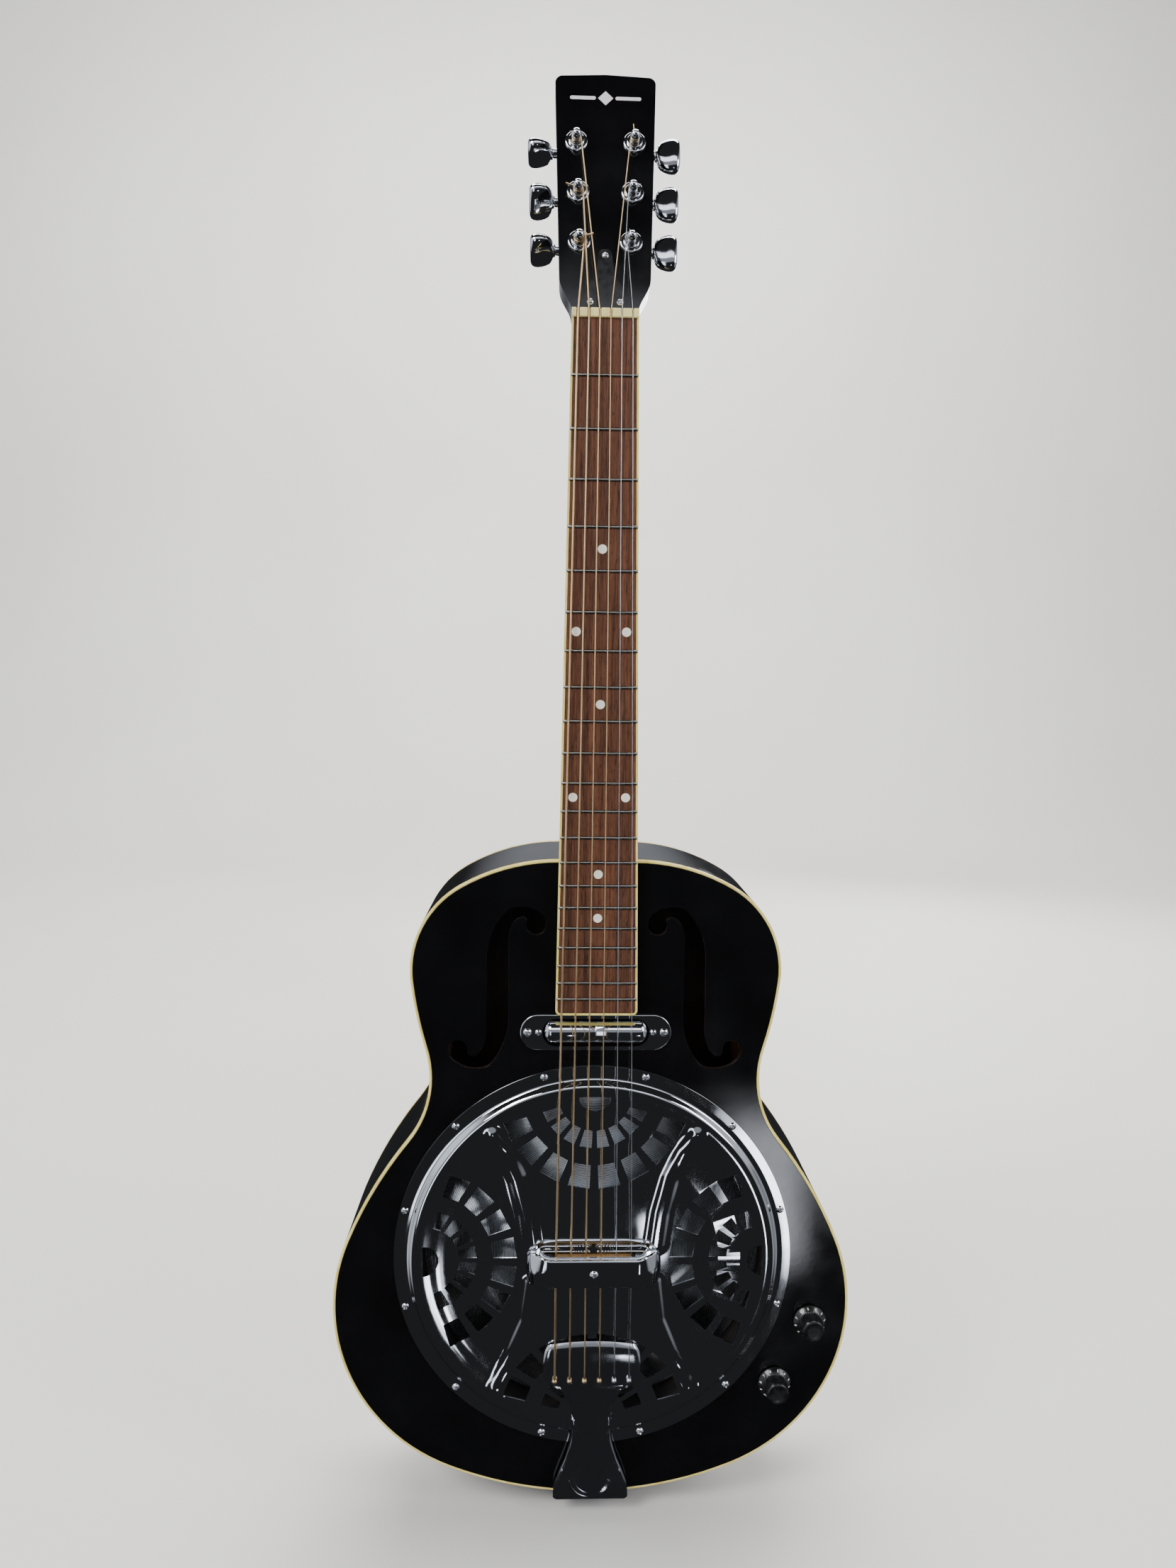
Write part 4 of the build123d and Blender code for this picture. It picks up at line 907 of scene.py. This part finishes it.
# ---------------------------------------------------------------- hand rest over the saddle
def hand_rest():
    """A pressed strap with a turned-down lip on each side and a bulb at each end that stands on the cover."""
    half_stops = (
        (0, 10.2), (29, 10.2), (33, 10.7), (36, 11.5), (43, 11.7), (45, 10.4), (46.4, 8.0), (47, 5.5),
    )
    top_stops = ((0, 106.9), (30, 106.9), (35, 106.4), (40, 104.4), (43.6, 100.6), (46, 96.4), (47, 93.6))
    lip_stops = ((0, 101.6), (30, 101.6), (34, 98.5), (38, 93.5), (41, 91.5), (47, 91.5))
    stations = np.concatenate([np.linspace(-47, -28, 26), np.linspace(-26, 26, 14), np.linspace(28, 47, 26)])
    points = []
    for x in stations:
        half = float(curve_through(half_stops, abs(x)))
        top = float(curve_through(top_stops, abs(x)))
        lip = min(float(curve_through(lip_stops, abs(x))), top - 0.5)
        crown = 0.25 + 2.4 * float(fall(abs(abs(x) - 41), 0.5, 9.0))
        shoulder = top - crown
        line = rounded([(-half, lip), (-half, shoulder), (0, top), (half, shoulder), (half, lip)], 2.0, 5)
        points += [at(x, high, z) for z, high in line]
    rows = len(stations)
    faces = grid_faces(rows, len(points) // rows)
    piece = mesh_piece("hand_rest_strap", points, faces, chrome_pressed, smooth=60)
    if piece.data.polygons[len(piece.data.polygons) // 2].normal.y > 0:
        piece.data.flip_normals()
    wall = piece.modifiers.new("wall", "SOLIDIFY")
    wall.thickness = 1.3 * MM
    wall.offset = -1
    edge = piece.modifiers.new("edge", "BEVEL")
    edge.width = 0.45 * MM
    edge.segments = 2
    edge.limit_method = "ANGLE"
    edge.angle_limit = radians(50)
    return apply_modifiers(piece)


seat(hand_rest(), "guitar", "chrome", "palm_rest")


# ---------------------------------------------------------------- tailpiece
def tail_sheet():
    """The stamped tailpiece: a rolled head with keyholes, a waisted plate and a folded foot."""
    bottom = -180.3
    middle_line = rounded(
        [
            (-57.6, 92.2), (-60.5, 93.9), (-66, 94.8), (-73, 95.0), (-80, 94.2), (-86.5, 92.6), (-92, 92.6),
            (-140, 91.2), (-176, 90.3), (bottom, 89.6), (bottom, 84), (bottom, 56.2),
        ],
        2.4,
        4,
    )
    path = [middle_line[0]]
    for start, end in zip(middle_line, middle_line[1:]):
        parts = max(1, int((end - start).length / 1.1))
        path += [start.lerp(end, k / parts) for k in range(1, parts + 1)]
    half_stops = (
        (56, 26.7), (180.4, 26.7), (183, 26.7), (190, 26.3), (200, 23.4), (214, 18.2), (230, 14.6),
        (240, 14.2), (252, 15.2), (262, 20.5), (268.5, 29.8), (271, 32.4), (276, 34.0), (286, 34.2), (296, 33.4),
        (302, 31.5), (305.5, 28.0),
    )
    channel = ((25.5, -93.5), (18.0, -103.0), (10.5, -117.0), (7.6, -133.0), (8.2, -150.0), (11.4, -163.0))
    columns = 41
    rows = []
    for z, high in path:
        reach = 360.0 + z if high > 89.2 or z > bottom + 0.5 else 180.2
        half = float(curve_through(half_stops, reach))
        rows.append((z, high, half))
    points = []
    for index, (z, high, half) in enumerate(rows):
        across = np.linspace(-1, 1, columns)
        x = np.sign(across) * np.abs(across) ** 0.9 * half
        before, after = rows[max(index - 1, 0)], rows[min(index + 1, len(rows) - 1)]
        run = Vector((after[0] - before[0], after[1] - before[1])).normalized()
        out = Vector((-run.y, run.x))
        if out.y < 0 or (abs(out.y) < 0.2 and out.x > 0):
            out = -out
        far, _ = distance_to_line(np.abs(x), np.full(columns, z), channel)
        ring = np.abs(np.hypot(x, z + 163.5) - 10.5)
        pressed = np.minimum(far, np.where(z < -160, ring, 99.0))
        level = float(fall(abs(high - 91.5), 1.8, 2.0)) if z < -90 else 0.0
        lift = -1.1 * fall(pressed, 1.0, 2.6) * level
        edge_roll = -1.3 * fall(half - np.abs(x), 0.0, 2.2)
        head_arch = -1.6 * (np.abs(x) / 34.0) ** 2 if z > -92 else 0.0 * x
        shift = lift + edge_roll + head_arch
        arch = -3.2 * (x / 34.0) ** 2 * min(max((z + 80) / 22, 0), 1)
        for xx, s, lower in zip(x, shift, arch):
            points.append(at(xx, high + out.y * s, z + out.x * s + lower))
    faces = grid_faces(len(rows), columns)
    piece = mesh_piece("tailpiece_stamping", points, faces, chrome_tail, smooth=60)
    if piece.data.polygons[20 * (columns - 1) + columns // 2].normal.y > 0:
        piece.data.flip_normals()
    wall = piece.modifiers.new("wall", "SOLIDIFY")
    wall.thickness = 1.3 * MM
    wall.offset = -1
    apply_modifiers(piece)
    keyholes = []
    for k in range(6):
        x = 52.5 * (k / 5 - 0.5)
        round_end = ring_of(x, -87.4, 2.2, 14, radians(115), radians(310))
        neck_of_hole = [(x + 0.8, -82.6), (x + 0.5, -81.4), (x - 0.5, -81.4), (x - 0.8, -82.6)]
        keyholes.append(round_end + neck_of_hole)
    return cut_with(piece, keyholes, 85, 99)


seat(tail_sheet(), "guitar", "chrome", "tailpiece")


# ---------------------------------------------------------------- knobs
def knob(name, x, z, pointer):
    """A skirted dial knob: a cone with painted numbers, a fluted barrel and a flat cap."""
    low = body_deep + 0.8
    profile = [
        (0.0, low), (10.9, low), (11.6, low + 0.25), (11.8, low + 0.7), (11.7, low + 1.1), (11.2, low + 1.6),
        (10.3, low + 2.6), (9.5, low + 3.4), (8.9, low + 3.9), (8.65, low + 4.3),
        (8.5, low + 5.2), (8.35, low + 6.6), (8.15, low + 8.8), (7.95, low + 10.8), (7.8, low + 12.2),
        (7.75, low + 12.7), (7.65, low + 13.1), (7.5, low + 13.45), (7.2, low + 13.8), (6.7, low + 14.0),
        (6.1, low + 14.05),
        (5.7, low + 13.95), (4.0, low + 13.9), (0.0, low + 13.9),
    ]
    barrel = range(9, 15)
    flutes = 36

    def fluted(index, radius, angle):
        groove = 0.5 - 0.5 * cos(flutes * angle)
        return radius - 0.42 * groove**2 if index in barrel else radius

    points, faces = lathe(profile, 288, (x, z), fluted)
    piece = mesh_piece(f"{name}_knob_turning", points, faces, knob_black, smooth=40)
    seat(piece, f"{name}_control", "black_plastic", f"{name}_knob")
    digits = []
    for number in range(11):
        angle = pointer + radians(-150 + 30 * number)
        digits.append(painted_number(str(number), x, z, 10.35, low + 2.72, angle))
    marks = joined(f"{name}_dial_numbers", digits, dial_paint)
    seat(marks, f"{name}_control", "white_plastic")


def painted_number(text, x, z, reach, high, angle):
    """A small raised figure that lies on a knob's skirt; its foot points at the middle of the knob."""
    font = bpy.data.curves.new("figure", "FONT")
    font.body = text
    font.size = 2.3 * MM
    font.align_x = "CENTER"
    font.align_y = "CENTER"
    font.extrude = 0.04 * MM
    font.offset = 0.05 * MM
    font.resolution_u = 3
    shape = bpy.data.objects.new("figure", font)
    bpy.context.scene.collection.objects.link(shape)
    bpy.context.view_layer.update()
    mesh = bpy.data.meshes.new_from_object(shape.evaluated_get(bpy.context.evaluated_depsgraph_get()))
    bpy.data.objects.remove(shape)
    outwards = Vector((cos(angle), 0, sin(angle)))
    slope = radians(42)
    up = Vector((0, 1, 0)) * sin(slope) + outwards * cos(slope)
    normal = Vector((0, -1, 0)) * cos(slope) + outwards * sin(slope)
    right = up.cross(normal)
    turn = Matrix((right, up, normal)).transposed().to_4x4()
    mesh.transform(Matrix.Translation(at(x + reach * cos(angle), high, z + reach * sin(angle))) @ turn)
    return mesh


def joined(name, meshes, material):
    """Several meshes as one piece."""
    work = bmesh.new()
    for mesh in meshes:
        work.from_mesh(mesh)
        bpy.data.meshes.remove(mesh)
    whole = bpy.data.meshes.new(name)
    work.to_mesh(whole)
    work.free()
    return finish_mesh(name, whole, material)


knob("volume", 155.0, -48.0, radians(100))
knob("tone", 131.2, -94.6, radians(80))


# ---------------------------------------------------------------- pickup
def tube_cover():
    """The pickup's chrome tube: rounded ends and a shallow seam round its middle."""
    r, half, nose = 8.6, 35.5, 5.6
    bend = [pi / 2 * k / 8 for k in range(9)]
    profile = [(half, 0.0)]
    profile += [(half - nose + nose * cos(a), r - nose + nose * sin(a)) for a in bend]
    profile += [(0.55, r), (0.38, r - 0.1), (0.22, r - 0.22)]
    profile += [(-x, radius) for x, radius in reversed(profile)]
    steps = 96
    points = []
    for x, radius in profile:
        for step in range(steps):
            angle = 2 * pi * step / steps
            points.append(at(x, 81.5 + radius * cos(angle), pickup_z + radius * sin(angle)))
    faces = grid_faces(len(profile), steps, close_columns=True)
    return mesh_piece("pickup_tube", points, faces, chrome, smooth=50)


seat(tube_cover(), "pickup", "chrome", "pickup_cover")


# ---------------------------------------------------------------- tuners
def tuner_point(side, row, x, up, out):
    """A place about a tuner's own post, in metres: x away from its button, up the head and out of it."""
    reach = (post_z[row] - head_z) / cos(head_tilt)
    return head_at(side * (post_x[row] - x) if side > 0 else -post_x[row] + x, reach + up, out)


def tuner_button(number, side, row):
    """A cast button: a fat rounded plate on a collar and a round shaft."""
    up_mid, out_mid = 6.6, -21.0
    sections = (
        (-32.2, 7.6, 3.2), (-32.0, 9.2, 4.2), (-31.2, 10.8, 5.0), (-29.6, 11.8, 5.5), (-27.2, 12.2, 5.5),
        (-24.4, 12.0, 4.9), (-21.6, 11.2, 4.2), (-19.2, 9.8, 3.8), (-17.6, 7.6, 3.6), (-16.9, 5.2, 3.4),
        (-16.6, 4.1, 3.9), (-16.2, 3.7, 3.7), (-15.4, 3.6, 3.6), (-15.1, 3.0, 3.0), (-9.0, 3.0, 3.0),
        (-5.4, 3.0, 3.0),
    )
    steps = 56
    turn = radians(button_turns.get(number, 0.0))
    points = []
    for index, (x, tall, thick) in enumerate(sections):
        square = 2.6 if index < 9 else 2.0
        for step in range(steps):
            angle = 2 * pi * step / steps
            c, s = cos(angle), sin(angle)
            u = tall * (abs(c) ** (2 / square)) * (1 if c >= 0 else -1)
            v = thick * (abs(s) ** (2 / square)) * (1 if s >= 0 else -1)
            up, out = u * cos(turn) - v * sin(turn), u * sin(turn) + v * cos(turn)
            points.append(tuner_point(side, row, x, up_mid + up, out_mid + out))
    first, last = len(points), len(points) + 1
    points += [tuner_point(side, row, x, up_mid, out_mid) for x in (sections[0][0], sections[-1][0])]
    faces = grid_faces(len(sections), steps, close_columns=True)
    start = (len(sections) - 1) * steps
    faces += [(k, (k + 1) % steps, first) for k in range(steps)]
    faces += [(start + (k + 1) % steps, start + k, last) for k in range(steps)]
    piece = mesh_piece(f"tuner_button_{number}_casting", points, faces, chrome, smooth=50)
    seat(piece, f"tuner_button_{number}", "chrome", f"tuner_button_{number}")


def string_wrap(number, side, row):
    """The last turns of a string round its post, and the cut end that stands out of the post's hole."""
    radius = string_r[6 - number]
    turns = 1.6
    pitch = 2 * radius + 0.08
    low = waist_out - pitch * turns / 2
    round_r = 2.3 + radius + 0.03
    wire = bpy.data.curves.new("wrap", "CURVE")
    wire.dimensions = "3D"
    wire.bevel_depth = radius * MM
    wire.bevel_resolution = 3
    wire.use_fill_caps = True
    count = int(turns * 28)
    line = wire.splines.new("POLY")
    line.points.add(count - 1)
    for k in range(count):
        angle = 2 * pi * k / 28
        out = low + pitch * angle / (2 * pi)
        spot = tuner_point(side, row, round_r * cos(angle), round_r * sin(angle), out)
        line.points[k].co = (*spot, 1)
    away, up, length = cut_ends[number]
    tail = wire.splines.new("POLY")
    tail.points.add(3)
    for k, (share, out) in enumerate(((0.2, 5.5), (0.45, 5.5), (0.75, 5.9), (1.0, 6.8))):
        tail.points[k].co = (*tuner_point(side, row, away * length * share, up * length * share, out), 1)
    shape = bpy.data.objects.new("wrap", wire)
    bpy.context.scene.collection.objects.link(shape)
    bpy.context.view_layer.update()
    mesh = bpy.data.meshes.new_from_object(shape.evaluated_get(bpy.context.evaluated_depsgraph_get()))
    bpy.data.objects.remove(shape)
    wound = number > 2
    piece = finish_mesh(f"string_{number}_wrap", mesh, bronze if wound else plain_steel, smooth=60)
    seat(piece, f"string_post_{number}", "bronze_wound" if wound else "plain_steel")


# Each cut string end: its direction away from the button and up the head, and its length.
cut_ends = {
    6: (1.0, 0.15, 9.0), 5: (-1.0, 0.1, 8.0), 4: (-0.9, 0.4, 4.8),
    3: (0.15, 1.0, 8.0), 2: (-1.0, 0.3, 5.0), 1: (0.3, 1.0, 5.0),
}
for row in range(3):
    for side, number in ((-1, 6 - row), (1, 1 + row)):
        tuner_button(number, side, row)
        string_wrap(number, side, row)

# ---------------------------------------------------------------- the wooden parts' rounded edges
softened("soundboard", 0.7, "guitar", "black_lacquer", steps=3)
softened("top_binding", 0.9, "guitar", "cream_plastic", steps=3)
softened("back_binding", 0.9, "guitar", "cream_plastic", steps=3)
softened("neck", 0.8, "guitar", "black_lacquer", steps=3)
softened("fretboard_binding", 0.35, "guitar", "cream_plastic")
softened("nut", 0.25, "guitar", "cream_plastic")
softened("saddle", 0.25, "guitar", "maple")
softened("truss_rod_cover", 0.4, "guitar", "black_plastic")
softened("tuner_housings", 0.3, "guitar", "chrome")


# ---------------------------------------------------------------- studio
def studio_sweep():
    """A pale painted floor that curves up into a wall; mirrors and lacquer don't see it."""
    low = cad_box[0].z - 0.0005
    front, bend_y, bend_r, high, wide = -6.0, 2.4, 1.4, 6.0, 9.0
    line = [(front, low)]
    bend = [pi / 2 * k / 16 for k in range(17)]
    line += [(bend_y + bend_r * sin(a), low + bend_r * (1 - cos(a))) for a in bend]
    line.append((bend_y + bend_r, high))
    points = [(x, y, z) for y, z in line for x in (-wide, wide)]
    material, tree, surface, place = start_material("pale_studio_paint", Roughness=0.6)
    clouds = grains(tree, stretched(tree, place, 900, 900, 900), detail=3)
    tree.links.new(shades(tree, clouds, ((0.3, "#dddbd6"), (0.7, "#e4e2de"))), surface.inputs["Base Color"])
    sweep = mesh_piece("studio_sweep", points, grid_faces(len(line), 2), material, smooth=60)
    sweep.visible_glossy = False


def softbox(name, place, aim, wide, tall, watts, tint="#ffffff"):
    """A rectangular soft light that looks at a point; places are in metres."""
    light = bpy.data.lights.new(name, "AREA")
    light.shape = "RECTANGLE"
    light.size = wide
    light.size_y = tall
    light.energy = watts
    light.color = linear(tint)[:3]
    lamp = bpy.data.objects.new(name, light)
    bpy.context.scene.collection.objects.link(lamp)
    lamp.location = place
    lamp.rotation_euler = (Vector(aim) - Vector(place)).to_track_quat("-Z", "Y").to_euler()
    return lamp


def studio_world():
    """Pale to the camera; to all else a dim room: a bright band overhead, strips at the sides and windows."""
    world = bpy.data.worlds.new("studio")
    bpy.context.scene.world = world
    world.use_nodes = True
    tree = world.node_tree
    tree.nodes.clear()

    def reckon(kind, first, second=0.0):
        return add_node(tree, "ShaderNodeMath", {0: first, 1: second}, operation=kind).outputs[0]

    way = add_node(tree, "ShaderNodeTexCoord").outputs["Generated"]
    part = add_node(tree, "ShaderNodeSeparateXYZ", {"Vector": way}).outputs
    ahead = reckon("MAXIMUM", reckon("MULTIPLY", part["Y"], -1.0), 0.02)
    across, rise = reckon("DIVIDE", part["X"], ahead), reckon("DIVIDE", part["Z"], ahead)
    in_front = span(tree, part["Y"], -0.12, -0.02, 1, 0)
    above, below = span(tree, part["Z"], 0.04, 0.15, 0, 1), span(tree, part["Z"], 0.55, 0.68, 1, 0)
    band = reckon("MULTIPLY", above, below)
    light = reckon("ADD", reckon("MULTIPLY", band, ceiling_light), room_light)
    light = reckon("ADD", light, span(tree, part["X"], -0.86, -0.76, left_strip, 0))
    light = reckon("ADD", light, span(tree, part["X"], 0.76, 0.86, 0, right_strip))
    for mid_x, mid_z, half_x, half_z, soft, power in windows:
        off_x = reckon("ABSOLUTE", reckon("SUBTRACT", across, mid_x))
        off_z = reckon("ABSOLUTE", reckon("SUBTRACT", rise, mid_z))
        pane = reckon("MULTIPLY", span(tree, off_x, half_x, half_x + soft, 1, 0), in_front)
        pane = reckon("MULTIPLY", pane, span(tree, off_z, half_z, half_z + soft, 1, 0))
        light = reckon("ADD", light, reckon("MULTIPLY", pane, power))
    seen = add_node(tree, "ShaderNodeLightPath").outputs["Is Camera Ray"]
    pale = add_node(tree, "ShaderNodeBackground", {"Color": linear("#e4e3e0"), "Strength": 1.0}).outputs[0]
    room = add_node(tree, "ShaderNodeBackground", {"Color": linear("#f2f6ff"), "Strength": light}).outputs[0]
    mix = add_node(tree, "ShaderNodeMixShader", {0: seen, 1: room, 2: pale}).outputs[0]
    add_node(tree, "ShaderNodeOutputWorld", {"Surface": mix})


room_light = 0.025
ceiling_light = 0.35
left_strip = 0.8
right_strip = 0.4
# Each window: its middle across and up for each metre ahead, its half sizes, its soft edge and its power.
windows = (
    (0.21, -0.5, 0.02, 0.06, 0.03, 6.0),
    (-0.52, -0.15, 0.12, 0.3, 0.05, 2.6),
    (0.1, 0.75, 0.5, 0.16, 0.08, 2.4),
)


def camera():
    """The camera: a phone's wide lens at chest height, close to the guitar and turned a little down."""
    data = bpy.data.cameras.new("camera")
    focal_px, long_side = 1534.0, 2212.0
    data.sensor_width = 36.0
    data.lens = data.sensor_width * focal_px / long_side
    yaw, pitch, roll = radians(-1.883), radians(6.002), radians(0.683)
    right, forward, up = Vector((cos(yaw), sin(yaw), 0)), Vector((-sin(yaw), cos(yaw), 0)), Vector((0, 0, 1))
    ahead = forward * cos(pitch) - up * sin(pitch)
    above = up * cos(pitch) + forward * sin(pitch)
    rolled_right = right * cos(roll) + above * sin(roll)
    rolled_up = above * cos(roll) - right * sin(roll)
    eye = bpy.data.objects.new("camera", data)
    bpy.context.scene.collection.objects.link(eye)
    turn = Matrix((rolled_right, rolled_up, -ahead)).transposed()
    eye.matrix_world = Matrix.Translation(Vector((-31.25, -810.45, 411.66)) * MM) @ turn.to_4x4()
    bpy.context.scene.camera = eye


studio_sweep()
studio_world()
camera()
softbox("key", (-1.6, -1.6, 1.9), (0, -0.08, 0.1), 1.0, 1.0, 55)
softbox("fill", (1.9, -1.2, 1.2), (0, -0.08, 0.2), 0.7, 1.3, 22)
softbox("overhead", (0.0, 1.0, 3.6), (0, 1.3, 0.0), 3.4, 2.2, 190)
softbox("wall_wash", (0.0, 1.2, 2.6), (0, 3.8, 1.4), 3.6, 0.8, 90)
softbox("back", (0.9, 1.9, 1.0), (0, 0, 0.2), 0.8, 1.2, 22)
